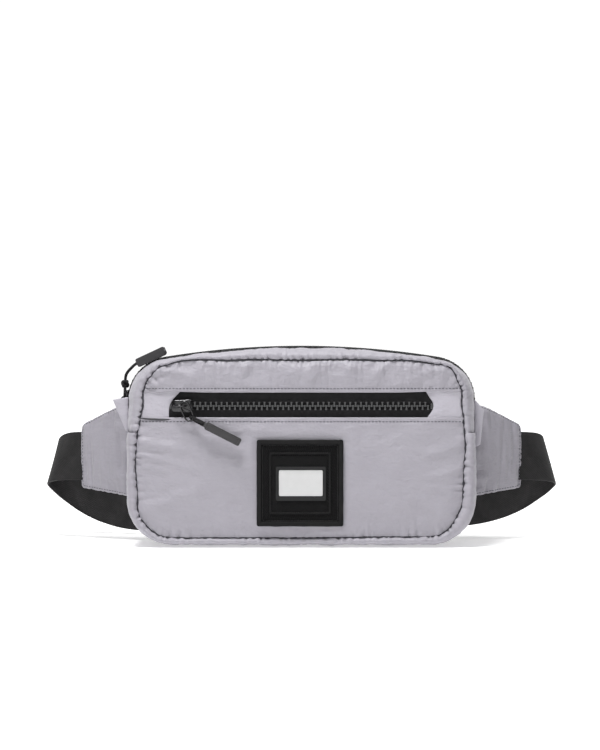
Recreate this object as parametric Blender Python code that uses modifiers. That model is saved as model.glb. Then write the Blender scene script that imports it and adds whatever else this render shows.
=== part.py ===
"""Waist bag on a webbing belt: a padded pouch with a zipped mouth, a zipped front pocket,
two padded wings and a belt that closes behind with a side-release buckle.

Metres, +Z up, +X to the right seen from the front, the front faces -Y.
The origin is the bottom centre of the pouch.
"""

import math

import bmesh
import bpy
from mathutils import Matrix, Vector

# Pouch: its front outline and its layers from front to back
HALF_WIDTH = 0.131
HEIGHT = 0.148
TOP_CORNER_X = 0.099
TOP_CORNER_Z = 0.108
TOP_CORNER_R = 0.032
BOTTOM_CORNER_X = 0.097
BOTTOM_CORNER_R = 0.034
TOP_ARC_R = ((TOP_CORNER_X ** 2 + (HEIGHT - TOP_CORNER_Z) ** 2 - TOP_CORNER_R ** 2)
             / (2 * (HEIGHT - TOP_CORNER_Z - TOP_CORNER_R)))
GUSSET_HALF_DEPTH = 0.030
GUSSET_THICK = 0.0025
PANEL_THICK = 0.0017
FRONT_FACE_Y = -0.0355
BACK_FACE_Y = 0.0365
GAP = 0.0003

# The mouth folds open about this line on the front face
FOLD_Z = 0.082
FOLD_Y = FRONT_FACE_Y - 0.0001

# Main zip, along the top of the gusset
ZIP_MOUTH = 0.0095
TEETH_TIP = 0.0006
TEETH_ROOT = 0.0030
TAPE_INNER = 0.0033
TAPE_OUTER = 0.0092
TEETH_THICK = 0.0024
TAPE_THICK = 0.0008
MAIN_SLIDER_ANGLE = 178.0

# Front pocket zip
POCKET_Z = 0.1039
WINDOW_LEFT = -0.0987
WINDOW_RIGHT = 0.0990
WINDOW_LOW = 0.0946
WINDOW_HIGH = 0.1148
TOOTH_PITCH = 0.004
TOOTH_HEIGHT = 0.00295
TEETH_FRONT_Y = -0.0333
TEETH_BACK_Y = -0.0311
SLIDER_X = -0.0890
SLIDER_LENGTH = 0.0160
SLIDER_HALF_HEIGHT = 0.0052
RING_Y = -0.0386
RING_R = 0.0033
RING_WIRE_R = 0.00075
RING_LENGTH = 0.0085
RING_ANGLE = -66.5
PULL_ANGLE = -27.0
CORD_R = 0.0008

# Patch on the lower front panel
PATCH_X = -0.001
PATCH_Z = 0.0465
PATCH_SIZE = 0.0645

# Folded ends of the zip strip: distance out from the pouch's side, and height
LEFT_EAR = [(0, 0.0838), (0, 0.1092), (0.0114, 0.1072), (0.0016, 0.0846)]
RIGHT_EAR = [(0, 0.0720), (0, 0.1085), (0.0062, 0.1010), (0.0042, 0.0740)]

# Wings and belt
WING_ROOT_X = 0.1340
WING_ROOT_Y = 0.0260
WING_LENGTH = 0.0460
WING_ANGLE = 32.0
WING_THICK = 0.0050
WEBBING = 0.038
WEBBING_THICK = 0.0015

# Side-release buckle, behind the pouch
BUCKLE_Y = 0.0740
BUCKLE_Z = 0.0260
BUCKLE_HALF_HEIGHT = 0.0240
BUCKLE_HALF_THICK = 0.0060
BUCKLE_WALL = 0.0024
BAR_TURN_R = 0.0042
KEEPER_X = 0.0800

FABRIC = (0.49, 0.49, 0.56)
BLACK = (0.012, 0.012, 0.014)

assembly = None
cutters = None


def clear_scene():
    for obj in list(bpy.data.objects):
        bpy.data.objects.remove(obj, do_unlink=True)


def make_collections():
    global assembly, cutters
    assembly = bpy.data.collections.new("waist_bag")
    cutters = bpy.data.collections.new("cutters")
    bpy.context.scene.collection.children.link(assembly)
    bpy.context.scene.collection.children.link(cutters)


def make_material(name, color, roughness, metallic=0.0):
    material = bpy.data.materials.new(name)
    material.use_nodes = True
    shader = material.node_tree.nodes["Principled BSDF"]
    shader.inputs["Base Color"].default_value = (*color, 1.0)
    shader.inputs["Roughness"].default_value = roughness
    shader.inputs["Metallic"].default_value = metallic
    return material


def add_object(name, data, color=FABRIC, roughness=0.6, metallic=0.0):
    obj = bpy.data.objects.new(name, data)
    assembly.objects.link(obj)
    data.materials.append(make_material(name, color, roughness, metallic))
    return obj


# Outlines in the front view, as (x, z) points

def arc(centre_x, centre_z, radius, start, end, steps):
    """Points on an arc, with its angles in degrees."""
    points = []
    for i in range(steps + 1):
        a = math.radians(start + (end - start) * i / steps)
        points.append((centre_x + radius * math.cos(a), centre_z + radius * math.sin(a)))
    return points


def lower_path(inset, split=FOLD_Z - GAP):
    """The pouch's outline below the fold, from its left edge round the bottom to its right."""
    side = HALF_WIDTH - inset
    radius = BOTTOM_CORNER_R - inset
    return ([(-side, split)]
            + arc(-BOTTOM_CORNER_X, BOTTOM_CORNER_R, radius, 180, 270, 8)
            + arc(BOTTOM_CORNER_X, BOTTOM_CORNER_R, radius, 270, 360, 8)
            + [(side, split)])


def upper_path(inset, split=FOLD_Z + GAP):
    """The pouch's outline above the fold, from its right edge over the top to its left."""
    side = HALF_WIDTH - inset
    centre_z = HEIGHT - TOP_ARC_R
    turn = math.degrees(math.atan2(TOP_CORNER_Z - centre_z, TOP_CORNER_X))
    radius = TOP_CORNER_R - inset
    return ([(side, split)]
            + arc(TOP_CORNER_X, TOP_CORNER_Z, radius, 0, turn, 8)
            + arc(0, centre_z, TOP_ARC_R - inset, turn, 180 - turn, 8)[1:-1]
            + arc(-TOP_CORNER_X, TOP_CORNER_Z, radius, 180 - turn, 180, 8)
            + [(-side, split)])


def rectangle(x0, x1, z0, z1, radius=0.0, steps=3):
    if not radius:
        return [(x0, z0), (x1, z0), (x1, z1), (x0, z1)]
    return (arc(x0 + radius, z0 + radius, radius, 180, 270, steps)
            + arc(x1 - radius, z0 + radius, radius, 270, 360, steps)
            + arc(x1 - radius, z1 - radius, radius, 0, 90, steps)
            + arc(x0 + radius, z1 - radius, radius, 90, 180, steps))


def wound(loop, clockwise):
    """The loop, reversed if it doesn't run the way asked for."""
    area = sum(a[0] * b[1] - b[0] * a[1] for a, b in zip(loop, loop[1:] + loop[:1]))
    return loop[::-1] if (area < 0) != clockwise else loop


# Solids

def outline_curve(name, loops, cyclic=True):
    curve = bpy.data.curves.new(name, "CURVE")
    curve.dimensions = "2D"
    curve.fill_mode = "BOTH" if cyclic else "NONE"
    for loop in loops:
        spline = curve.splines.new("POLY")
        spline.points.add(len(loop) - 1)
        for point, (x, z) in zip(spline.points, loop):
            point.co = (x, z, 0, 1)
        spline.use_cyclic_u = cyclic
    return curve


def plate(name, loops, front_y, back_y, **looks):
    """A flat outline in the front view, solid from front_y to back_y."""
    loops = [wound(loop, clockwise=k > 0) for k, loop in enumerate(loops)]
    curve = outline_curve(name, loops)
    curve.extrude = (back_y - front_y) / 2
    obj = add_object(name, curve, **looks)
    obj.location.y = (front_y + back_y) / 2
    obj.rotation_euler.x = math.pi / 2
    return obj


def ribbon(name, path, front_y, back_y, thick, **looks):
    """A strip that follows a path in the front view, of even thickness about it."""
    curve = outline_curve(name, [path], cyclic=False)
    curve.extrude = (back_y - front_y) / 2
    obj = add_object(name, curve, **looks)
    obj.location.y = (front_y + back_y) / 2
    obj.rotation_euler.x = math.pi / 2
    shell = obj.modifiers.new("thickness", "SOLIDIFY")
    shell.thickness = thick
    shell.offset = 0
    shell.use_even_offset = True
    return obj


def tube(name, points, radius, cyclic=False, **looks):
    curve = bpy.data.curves.new(name, "CURVE")
    curve.dimensions = "3D"
    curve.bevel_depth = radius
    curve.bevel_resolution = 2
    curve.use_fill_caps = not cyclic
    spline = curve.splines.new("POLY")
    spline.points.add(len(points) - 1)
    for point, co in zip(spline.points, points):
        point.co = (*co, 1)
    spline.use_cyclic_u = cyclic
    return add_object(name, curve, **looks)


def loft(name, rings, **looks):
    """A closed solid through rings of four corners each."""
    mesh = bpy.data.meshes.new(name)
    work = bmesh.new()
    rows = [[work.verts.new(corner) for corner in ring] for ring in rings]
    for here, there in zip(rows, rows[1:]):
        for k in range(4):
            m = (k + 1) % 4
            work.faces.new((here[k], here[m], there[m], there[k]))
    work.faces.new(rows[0][::-1])
    work.faces.new(rows[-1])
    bmesh.ops.recalc_face_normals(work, faces=work.faces)
    work.to_mesh(mesh)
    work.free()
    return add_object(name, mesh, **looks)


def box_mesh(name, low, high):
    mesh = bpy.data.meshes.new(name)
    work = bmesh.new()
    size = Vector(high) - Vector(low)
    middle = (Vector(high) + Vector(low)) / 2
    bmesh.ops.create_cube(work, size=1, matrix=Matrix.Translation(middle) @ Matrix.Diagonal((*size, 1)))
    work.to_mesh(mesh)
    work.free()
    return mesh


def box(name, low, high, **looks):
    return add_object(name, box_mesh(name, low, high), **looks)


def change_with_box(obj, operation, low, high):
    """Joins a box to obj, or cuts it out of obj."""
    cutter = bpy.data.objects.new(f"{obj.name}_{operation.lower()}", box_mesh("tool", low, high))
    cutter.hide_render = True
    cutter.display_type = "WIRE"
    cutters.objects.link(cutter)
    modifier = obj.modifiers.new(operation.lower(), "BOOLEAN")
    modifier.operation = operation
    modifier.solver = "EXACT"
    modifier.object = cutter
    return cutter


def smooth_route(points, steps):
    """A Catmull-Rom curve through the points, with steps stretches between each two."""
    knots = [Vector(p) for p in points]
    knots = [2 * knots[0] - knots[1]] + knots + [2 * knots[-1] - knots[-2]]
    route = []
    for a, b, c, d in zip(knots, knots[1:], knots[2:], knots[3:]):
        for i in range(steps):
            t = i / steps
            route.append(0.5 * ((2 * b) + (c - a) * t + (2 * a - 5 * b + 4 * c - d) * t ** 2
                                + (3 * b - a - 3 * c + d) * t ** 3))
    return route + [knots[-2]]


# The pouch

def make_gussets():
    mid = GUSSET_THICK / 2
    ribbon("lower_gusset", lower_path(mid), -GUSSET_HALF_DEPTH, GUSSET_HALF_DEPTH, GUSSET_THICK)
    ribbon("upper_gusset_rear", upper_path(mid), ZIP_MOUTH, GUSSET_HALF_DEPTH, GUSSET_THICK)
    ribbon("upper_gusset_front", upper_path(mid), -GUSSET_HALF_DEPTH, -ZIP_MOUTH, GUSSET_THICK)


def window_outline():
    tip = POCKET_Z + 0.0006
    return [(WINDOW_LEFT, WINDOW_LOW), (WINDOW_RIGHT - 0.0055, WINDOW_LOW),
            (WINDOW_RIGHT, tip - 0.0020), (WINDOW_RIGHT, tip + 0.0020),
            (WINDOW_RIGHT - 0.0055, WINDOW_HIGH), (WINDOW_LEFT + 0.0055, WINDOW_HIGH),
            (WINDOW_LEFT, WINDOW_HIGH - 0.0055)]


def make_panels():
    inset = 0.0030
    back = FRONT_FACE_Y + PANEL_THICK
    plate("front_panel_lower", [lower_path(inset)], FRONT_FACE_Y, back)
    plate("front_panel_upper", [upper_path(inset), window_outline()], FRONT_FACE_Y, back)
    plate("front_pad_lower", [lower_path(0.0045, FOLD_Z - 0.0015)], back + GAP, -GUSSET_HALF_DEPTH - GAP,
          color=(0.75, 0.75, 0.75), roughness=0.9)
    full = lower_path(inset, FOLD_Z) + upper_path(inset, FOLD_Z)
    plate("back_panel", [full], BACK_FACE_Y - 0.0022, BACK_FACE_Y)
    pad = lower_path(0.0060, FOLD_Z) + upper_path(0.0060, FOLD_Z)
    plate("back_pad", [pad], GUSSET_HALF_DEPTH + GAP, BACK_FACE_Y - 0.0025,
          color=(0.75, 0.75, 0.75), roughness=0.9)


def make_bindings():
    """Tape over the raw edges of the seams, inside the pouch."""
    inset = GUSSET_THICK + 0.0009
    front = -GUSSET_HALF_DEPTH
    ribbon("seam_binding_front", lower_path(inset, FOLD_Z - 0.004), front, front + 0.005, 0.0008,
           color=BLACK, roughness=0.8)
    whole = lower_path(inset, FOLD_Z)[:-1] + upper_path(inset, FOLD_Z)[:-4]
    ribbon("seam_binding_rear", whole, GUSSET_HALF_DEPTH - 0.006, GUSSET_HALF_DEPTH - 0.0003, 0.0008,
           color=BLACK, roughness=0.8)


def tray(name, outline, front_y, back_y, open_toward, thick, **looks):
    """A thin-walled tray made from an outline, open at the front or at the top."""
    mesh = bpy.data.meshes.new(name)
    work = bmesh.new()
    front = [work.verts.new((x, front_y, z)) for x, z in outline]
    back = [work.verts.new((x, back_y, z)) for x, z in outline]
    work.faces.new(back)
    if open_toward == "top":
        work.faces.new(front)
    for k in range(len(outline)):
        m = (k + 1) % len(outline)
        closes_top = open_toward == "top" and m == 0
        if not closes_top:
            work.faces.new((front[k], front[m], back[m], back[k]))
    bmesh.ops.recalc_face_normals(work, faces=work.faces)
    work.to_mesh(mesh)
    work.free()
    obj = add_object(name, mesh, **looks)
    shell = obj.modifiers.new("thickness", "SOLIDIFY")
    shell.thickness = thick
    shell.offset = 0
    return obj


def make_linings():
    dark = {"color": (0.05, 0.05, 0.06), "roughness": 0.7}
    tray("main_lining", lower_path(0.0050, FOLD_Z - 0.0040), -0.0228, 0.0235, "top", 0.0006, **dark)
    tray("front_pocket_bag", rectangle(-0.1020, 0.1020, 0.0130, 0.1215, 0.008, 2),
         -0.0296, -0.0238, "front", 0.0006, **dark)


def make_end_tabs():
    """The folded ends of the zip strip, which stand out beside the side seams as small ears."""
    for word, side, shape in (("left", -1, LEFT_EAR), ("right", 1, RIGHT_EAR)):
        outline = [(side * (HALF_WIDTH + GAP + out), z) for out, z in shape]
        plate(f"zip_end_tab_{word}", [outline], -0.0102, -0.0077)


# Zips

def make_main_zip():
    path = upper_path(GUSSET_THICK / 2, FOLD_Z + 0.0020)
    for word, side in (("front", -1), ("rear", 1)):
        teeth = sorted((side * TEETH_TIP, side * TEETH_ROOT))
        tape = sorted((side * TAPE_INNER, side * TAPE_OUTER))
        ribbon(f"main_zip_teeth_{word}", path, *teeth, TEETH_THICK, color=BLACK, roughness=0.35)
        ribbon(f"main_zip_tape_{word}", path, *tape, TAPE_THICK, color=BLACK, roughness=0.9)


def comb(side):
    """One row of front zip teeth: a spine with teeth that point at the other row."""
    tip = POCKET_Z + side * 0.00045
    gum = POCKET_Z + side * 0.0019
    spine = POCKET_Z + side * (0.00045 + TOOTH_HEIGHT)
    left = WINDOW_LEFT + 0.0030
    count = int((WINDOW_RIGHT - 0.0030 - left) / TOOTH_PITCH)
    shift = 0 if side > 0 else TOOTH_PITCH / 2
    points = []
    for i in range(count):
        x = left + shift + i * TOOTH_PITCH
        points += [(x, gum), (x, tip), (x + TOOTH_PITCH * 0.5, tip), (x + TOOTH_PITCH * 0.5, gum)]
    return points + [(points[-1][0], spine), (points[0][0], spine)]


def make_front_zip():
    shine = {"color": BLACK, "roughness": 0.3}
    cloth = {"color": BLACK, "roughness": 0.9}
    left = WINDOW_LEFT - 0.0020
    right = WINDOW_RIGHT + 0.0020
    near = 0.0037
    tape_y = FRONT_FACE_Y + PANEL_THICK + GAP
    for word, side in (("upper", 1), ("lower", -1)):
        plate(f"front_zip_teeth_{word}", [comb(side)], TEETH_FRONT_Y, TEETH_BACK_Y, **shine)
        edges = sorted((POCKET_Z + side * near, POCKET_Z + side * 0.0135))
        plate(f"front_zip_tape_{word}", [rectangle(left, right, *edges)], tape_y, tape_y + TAPE_THICK, **cloth)
    for word, x in (("left", WINDOW_LEFT + 0.0002), ("right", WINDOW_RIGHT - 0.0026)):
        box(f"front_zip_stop_{word}", (x, TEETH_FRONT_Y, POCKET_Z - 0.0024),
            (x + 0.0020, TEETH_BACK_Y, POCKET_Z + 0.0024), **shine)


def make_slider(name, plate_bottom, plate_top, lower_plate, tunnel, bar, length, half_width):
    """A slider lying flat at the origin: +Z is away from the chain, X along it.

    Its two plates are joined by a thin web, which runs between the two rows of teeth.
    """
    half = length / 2
    obj = box(name, (-half, -half_width, plate_bottom), (half, half_width, plate_top),
              color=BLACK, roughness=0.3)
    post = 0.0018
    left, right = -half + 0.0020, half - 0.0050
    tools = [
        ((-half + 0.001, -0.0003, lower_plate[0] + 0.0001), (half - 0.001, 0.0003, plate_bottom + 0.0001)),
        ((-half + 0.0005, -half_width + 0.0005, lower_plate[0]), (half - 0.0005, half_width - 0.0005, lower_plate[1])),
        ((left, -0.0015, plate_top - 0.0002), (left + post, 0.0015, bar + 0.0014)),
        ((right - post, -0.0015, plate_top - 0.0002), (right, 0.0015, bar + 0.0014)),
        ((left + 0.0002, -0.00149, bar), (right - 0.0002, 0.00149, bar + 0.00139)),
    ]
    for low, high in tools:
        change_with_box(obj, "UNION", low, high).parent = obj
    assert tunnel < bar
    return obj


def stadium(length, radius, steps=6):
    """A slot-shaped loop along +X from the origin, as flat points."""
    return arc(0, 0, radius, 90, 270, steps) + arc(length, 0, radius, -90, 90, steps)


def make_front_pull():
    slider = make_slider("front_slider", 0.0003, 0.0027, (-0.0036, -0.0025), 0.0027, 0.0075,
                         SLIDER_LENGTH, SLIDER_HALF_HEIGHT)
    slider.rotation_euler.x = math.pi / 2
    slider.location = (SLIDER_X, TEETH_FRONT_Y, POCKET_Z)
    post = Vector((SLIDER_X + SLIDER_LENGTH / 2 - 0.0059, RING_Y, POCKET_Z))
    tilt = math.radians(RING_ANGLE)
    along = Vector((math.cos(tilt), 0, math.sin(tilt)))
    across = Vector((-along.z, 0, along.x))
    loop = [post + along * x + across * z for x, z in stadium(RING_LENGTH, RING_R)]
    tube("front_ring", loop, RING_WIRE_R, cyclic=True, color=(0.03, 0.03, 0.03), roughness=0.25, metallic=0.9)
    swing = math.radians(PULL_ANGLE)
    pull = Vector((math.cos(swing), 0, math.sin(swing)))
    eye = post + along * RING_LENGTH + pull * RING_R
    outward = Vector((0, -1, 0))
    bend = 0.0021
    cord = []
    for i in range(9):
        a = math.radians(90 + 180 * i / 8)
        cord.append(eye + pull * bend * math.cos(a) - outward * bend * math.sin(a))
    start = eye + pull * 0.0105 + outward * 0.0034
    cord = [start - outward * 0.00085] + cord + [start + outward * 0.00085]
    tube("front_pull_cord", smooth_route(cord, 2), CORD_R, color=BLACK, roughness=0.8)
    tab = plate("front_pull_tab", [rectangle(0.0003, 0.0290, -0.0030, 0.0030, 0.0012)], -0.0017, 0.0017,
                color=BLACK, roughness=0.45)
    tab.location = start
    tab.rotation_euler.y = -swing


def corner_point(radius, degrees, y=0.0):
    a = math.radians(degrees)
    return Vector((-TOP_CORNER_X + radius * math.cos(a), y, TOP_CORNER_Z + radius * math.sin(a)))


def make_main_pull():
    teeth_top = TOP_CORNER_R - GUSSET_THICK / 2 + TEETH_THICK / 2
    slider = make_slider("main_slider", 0.0003, 0.0021, (-0.0047, -0.0033), 0.0021, 0.0055, 0.0130, 0.0055)
    turn = math.radians(90 - MAIN_SLIDER_ANGLE)
    slider.location = corner_point(teeth_top, MAIN_SLIDER_ANGLE)
    slider.rotation_euler.y = turn
    eye_r = teeth_top + 0.0038
    up = Vector((math.cos(turn), 0, -math.sin(turn)))
    eye = corner_point(eye_r, MAIN_SLIDER_ANGLE) - up * 0.0015
    side = Vector((0, 1, 0))
    legs = 0.0028
    knot = eye + up * 0.0125
    loop = [knot - up * 0.0036 - side * 0.0010, knot - up * 0.0065 - side * legs * 0.9, eye + up * 0.0030 - side * legs]
    loop += [eye - side * legs * 0.6, eye, eye + side * legs * 0.6]
    loop += [eye + up * 0.0030 + side * legs, knot - up * 0.0065 + side * legs * 0.9, knot - up * 0.0036 + side * 0.0010]
    tube("main_pull_cord", smooth_route(loop, 3), CORD_R, color=BLACK, roughness=0.8)
    make_knot(knot)
    bar_middle = corner_point(TOP_CORNER_R + 0.0042, 115, -0.0050)
    bar_along = Vector((math.sin(math.radians(115)), 0, -math.cos(math.radians(115))))
    bar_end = bar_middle - bar_along * 0.0120
    lead = [knot + up * 0.0036, knot + up * 0.0080 + Vector((0.0010, -0.0015, 0)),
            bar_end - bar_along * 0.0040 - Vector((0, 0, 0.0012)), bar_end - bar_along * 0.0003]
    tube("main_pull_lead", smooth_route(lead, 5), CORD_R * 1.25, color=BLACK, roughness=0.8)
    bar = plate("main_pull_bar", [rectangle(-0.0120, 0.0120, -0.0034, 0.0034, 0.0014)], -0.0017, 0.0017,
                color=BLACK, roughness=0.4)
    bar.location = bar_middle
    bar.rotation_euler.y = -math.atan2(bar_along.z, bar_along.x)


def make_knot(centre):
    mesh = bpy.data.meshes.new("main_pull_knot")
    work = bmesh.new()
    bmesh.ops.create_uvsphere(work, u_segments=10, v_segments=6, radius=0.0032)
    work.to_mesh(mesh)
    work.free()
    mesh.shade_smooth()
    obj = add_object("main_pull_knot", mesh, color=BLACK, roughness=0.8)
    obj.location = centre


# Patch

def make_patch():
    half = PATCH_SIZE / 2
    front = FRONT_FACE_Y - GAP
    plate("patch_base", [square(half, 0.0015)], front - 0.0016, front, color=BLACK, roughness=0.85)
    plate("patch_border", [square(half - 0.0006, 0.0015), square(half - 0.0050, 0.0008)],
          front - 0.0028, front - 0.0019, color=BLACK, roughness=0.8)
    plate("patch_inner_frame", [square(half - 0.0085, 0.0008), square(half - 0.0120, 0.0008)],
          front - 0.0025, front - 0.0019, color=BLACK, roughness=0.8)
    frame_z = (0.0335, 0.0588)
    label_z = (0.0365, 0.0567)
    plate("label_frame", [rectangle(-0.0190, 0.0182, *frame_z, 0.001), rectangle(-0.0171, 0.0163, *label_z, 0.001)],
          front - 0.0032, front - 0.0019, color=BLACK, roughness=0.5)
    plate("label_plate", [rectangle(-0.0167, 0.0159, label_z[0] + 0.0004, label_z[1] - 0.0004, 0.001)],
          front - 0.0028, front - 0.0019, color=(0.86, 0.86, 0.86), roughness=0.4)


def square(half, radius):
    return rectangle(PATCH_X - half, PATCH_X + half, PATCH_Z - half, PATCH_Z + half, radius)


# Wings and belt

def wing_end(side):
    a = math.radians(WING_ANGLE)
    return Vector((side * (WING_ROOT_X + WING_LENGTH * math.cos(a)), WING_ROOT_Y + WING_LENGTH * math.sin(a), 0))


def make_wings():
    for side, word in ((-1, "left"), (1, "right")):
        far = side * WING_LENGTH
        outline = [(0, 0.0325), (side * 0.0100, 0.0330), (far, 0.0380), (far, 0.0885),
                   (side * 0.0170, 0.1010), (side * 0.0060, 0.1045), (0, 0.1045)]
        obj = plate(f"wing_{word}", [outline], -WING_THICK / 2, WING_THICK / 2)
        obj.location = (side * WING_ROOT_X, WING_ROOT_Y, 0)
        obj.rotation_euler.z = side * math.radians(WING_ANGLE)


def belt_rings(route, lean):
    """Corner rings of flat webbing along a route of strap-middle points.

    lean gives, for each point, how far the lower edge stands outward of the upper edge.
    """
    rings = []
    for i, point in enumerate(route):
        before = route[max(i - 1, 0)]
        after = route[min(i + 1, len(route) - 1)]
        along = (after - before)
        flat = Vector((along.x, along.y, 0)).normalized()
        out = Vector((flat.y, -flat.x, 0))
        up = (Vector((0, 0, 1)) - out * lean(i / (len(route) - 1))).normalized() * WEBBING / 2
        face = up.cross(along).normalized() * WEBBING_THICK / 2
        rings.append([point - up - face, point + up - face, point + up + face, point - up + face])
    return rings


def bar_turn(x, y, radius, direction):
    """Half a turn of webbing round a buckle bar, from its front side to its back."""
    points = []
    for i in range(9):
        a = math.radians(-90 + 180 * i / 8)
        points.append((x + direction * radius * math.cos(a), y + radius * math.sin(a), BUCKLE_Z))
    return points


def make_belts():
    mid = 0.0633
    left_end = wing_end(-1)
    bar_x = -0.0335
    left = [(left_end.x - 0.0008, left_end.y + 0.0005, mid), (-0.1860, 0.0590, 0.0625), (-0.1955, 0.0700, 0.0600),
            (-0.1985, 0.0830, 0.0555), (-0.1930, 0.0945, 0.0460), (-0.1800, 0.1010, 0.0350),
            (-0.1620, 0.1010, 0.0262), (-0.1400, 0.0930, 0.0212), (-0.1150, 0.0830, 0.0205),
            (-0.0900, 0.0755, 0.0225), (-0.0680, 0.0722, 0.0250)]
    left = smooth_route(left, 3) + smooth_route([left[-1], (-0.0480, 0.0705, BUCKLE_Z)], 2)[1:]
    turn = [Vector(p) for p in bar_turn(bar_x, BUCKLE_Y, 0.0031, 1)]
    tail = [Vector((-0.0480, 0.0768, BUCKLE_Z)), Vector((-0.0640, 0.0760, BUCKLE_Z))]
    route = left + turn + tail
    loft("strap_left", belt_rings(route, lambda t: lean_at(t, -1)), color=BLACK, roughness=0.75)
    right_end = wing_end(1)
    right = [(right_end.x + 0.0008, right_end.y + 0.0005, mid), (0.1870, 0.0600, 0.0625),
             (0.1965, 0.0720, 0.0600), (0.1990, 0.0860, 0.0555), (0.1925, 0.0980, 0.0460), (0.1790, 0.1050, 0.0355),
             (0.1600, 0.1060, 0.0280), (0.1400, 0.0970, 0.0245), (0.1200, 0.0840, 0.0240),
             (0.1020, 0.0735, 0.0252), (0.0860, 0.0700, 0.0258)]
    right = smooth_route(right, 3) + smooth_route([right[-1], (0.0450, BUCKLE_Y - BAR_TURN_R, BUCKLE_Z)], 2)[1:]
    turn = [Vector(p) for p in bar_turn(0.0190, BUCKLE_Y, BAR_TURN_R, -1)]
    tail = [Vector((0.0450, BUCKLE_Y + BAR_TURN_R, BUCKLE_Z)), Vector((0.0900, BUCKLE_Y + 0.0035, BUCKLE_Z)),
            Vector((0.1080, BUCKLE_Y + 0.0060, BUCKLE_Z - 0.0005)), Vector((0.1280, BUCKLE_Y + 0.0170, BUCKLE_Z - 0.002))]
    route = right + turn + smooth_route(tail, 3)
    loft("strap_right", belt_rings(route, lambda t: lean_at(t, 1)), color=BLACK, roughness=0.75)


def lean_at(t, side):
    """The webbing stands upright at both ends and leans outward where it turns back."""
    bump = math.exp(-((t - 0.17) / 0.11) ** 2)
    return side * 0.28 * bump


def make_keeper():
    inner = (0.0208, 0.0078)
    obj = box("strap_keeper", (KEEPER_X - 0.004, BUCKLE_Y - 0.0092, BUCKLE_Z - inner[0] - 0.0018),
              (KEEPER_X + 0.004, BUCKLE_Y + 0.0078, BUCKLE_Z + inner[0] + 0.0018), color=BLACK, roughness=0.4)
    change_with_box(obj, "DIFFERENCE", (KEEPER_X - 0.005, BUCKLE_Y - 0.0076, BUCKLE_Z - inner[0]),
                    (KEEPER_X + 0.005, BUCKLE_Y + 0.0062, BUCKLE_Z + inner[0]))


# Side-release buckle

def make_buckle_female():
    tall, thick, wall = BUCKLE_HALF_HEIGHT, BUCKLE_HALF_THICK, BUCKLE_WALL
    y, z = BUCKLE_Y, BUCKLE_Z
    obj = box("buckle_female", (-0.0360, y - thick, z - tall), (0.0040, y + thick, z + tall),
              color=BLACK, roughness=0.35)
    inner = thick - wall
    cuts = [
        ((-0.0220, y - inner, z - tall + 0.0050), (0.0060, y + inner, z + tall - 0.0050)),
        ((-0.0170, y - inner + 0.0001, z - tall - 0.001), (0.0061, y + inner - 0.0001, z - tall + 0.0060)),
        ((-0.0170, y - inner + 0.0001, z + tall - 0.0060), (0.0061, y + inner - 0.0001, z + tall + 0.001)),
        ((-0.0320, y - thick - 0.001, z - 0.0205), (-0.0272, y + thick + 0.001, z + 0.0205)),
        ((-0.0370, y - thick - 0.001, z - 0.0205), (-0.0310, y - 0.0015, z + 0.0205)),
        ((-0.0371, y + 0.0015, z - 0.02051), (-0.0311, y + thick + 0.001, z + 0.02051)),
    ]
    for low, high in cuts:
        change_with_box(obj, "DIFFERENCE", low, high)


def make_buckle_male():
    z = BUCKLE_Z
    outer = [(0.0050, z - 0.0225), (0.0320, z - 0.0225), (0.0350, z - 0.0205), (0.0350, z + 0.0205),
             (0.0320, z + 0.0225), (0.0050, z + 0.0225), (0.0050, z + 0.0050), (-0.0160, z + 0.0045),
             (-0.0180, z + 0.0030), (-0.0180, z - 0.0030), (-0.0160, z - 0.0045), (0.0050, z - 0.0050)]
    slot = rectangle(0.0115, 0.0184, z - 0.0196, z + 0.0196)
    exit_slot = rectangle(0.0222, 0.0315, z - 0.0196, z + 0.0196)
    plate("buckle_male", [outer, slot, exit_slot], BUCKLE_Y - 0.0028, BUCKLE_Y + 0.0028, color=BLACK, roughness=0.35)
    for word, side in (("upper", 1), ("lower", -1)):
        arm = [(0.0046, 0.0115), (0.0046, 0.0150), (-0.0020, 0.0158), (-0.0010, 0.0215), (-0.0070, 0.0232),
               (-0.0130, 0.0180), (-0.0145, 0.0135), (-0.0070, 0.0125)]
        plate(f"release_arm_{word}", [[(x, z + side * h) for x, h in arm]], BUCKLE_Y - 0.0027, BUCKLE_Y + 0.0027,
              color=BLACK, roughness=0.35)


def main():
    clear_scene()
    make_collections()
    make_gussets()
    make_panels()
    make_bindings()
    make_linings()
    make_end_tabs()
    make_main_zip()
    make_front_zip()
    make_front_pull()
    make_main_pull()
    make_patch()
    make_wings()
    make_belts()
    make_keeper()
    make_buckle_female()
    make_buckle_male()


main()
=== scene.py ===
"""Looks of the waist bag: puffed nylon panels, webbing belt, zips, patch and buckle, round the CAD frame."""

import math

import bmesh
import bpy
from mathutils import Matrix, Vector, noise


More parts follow.
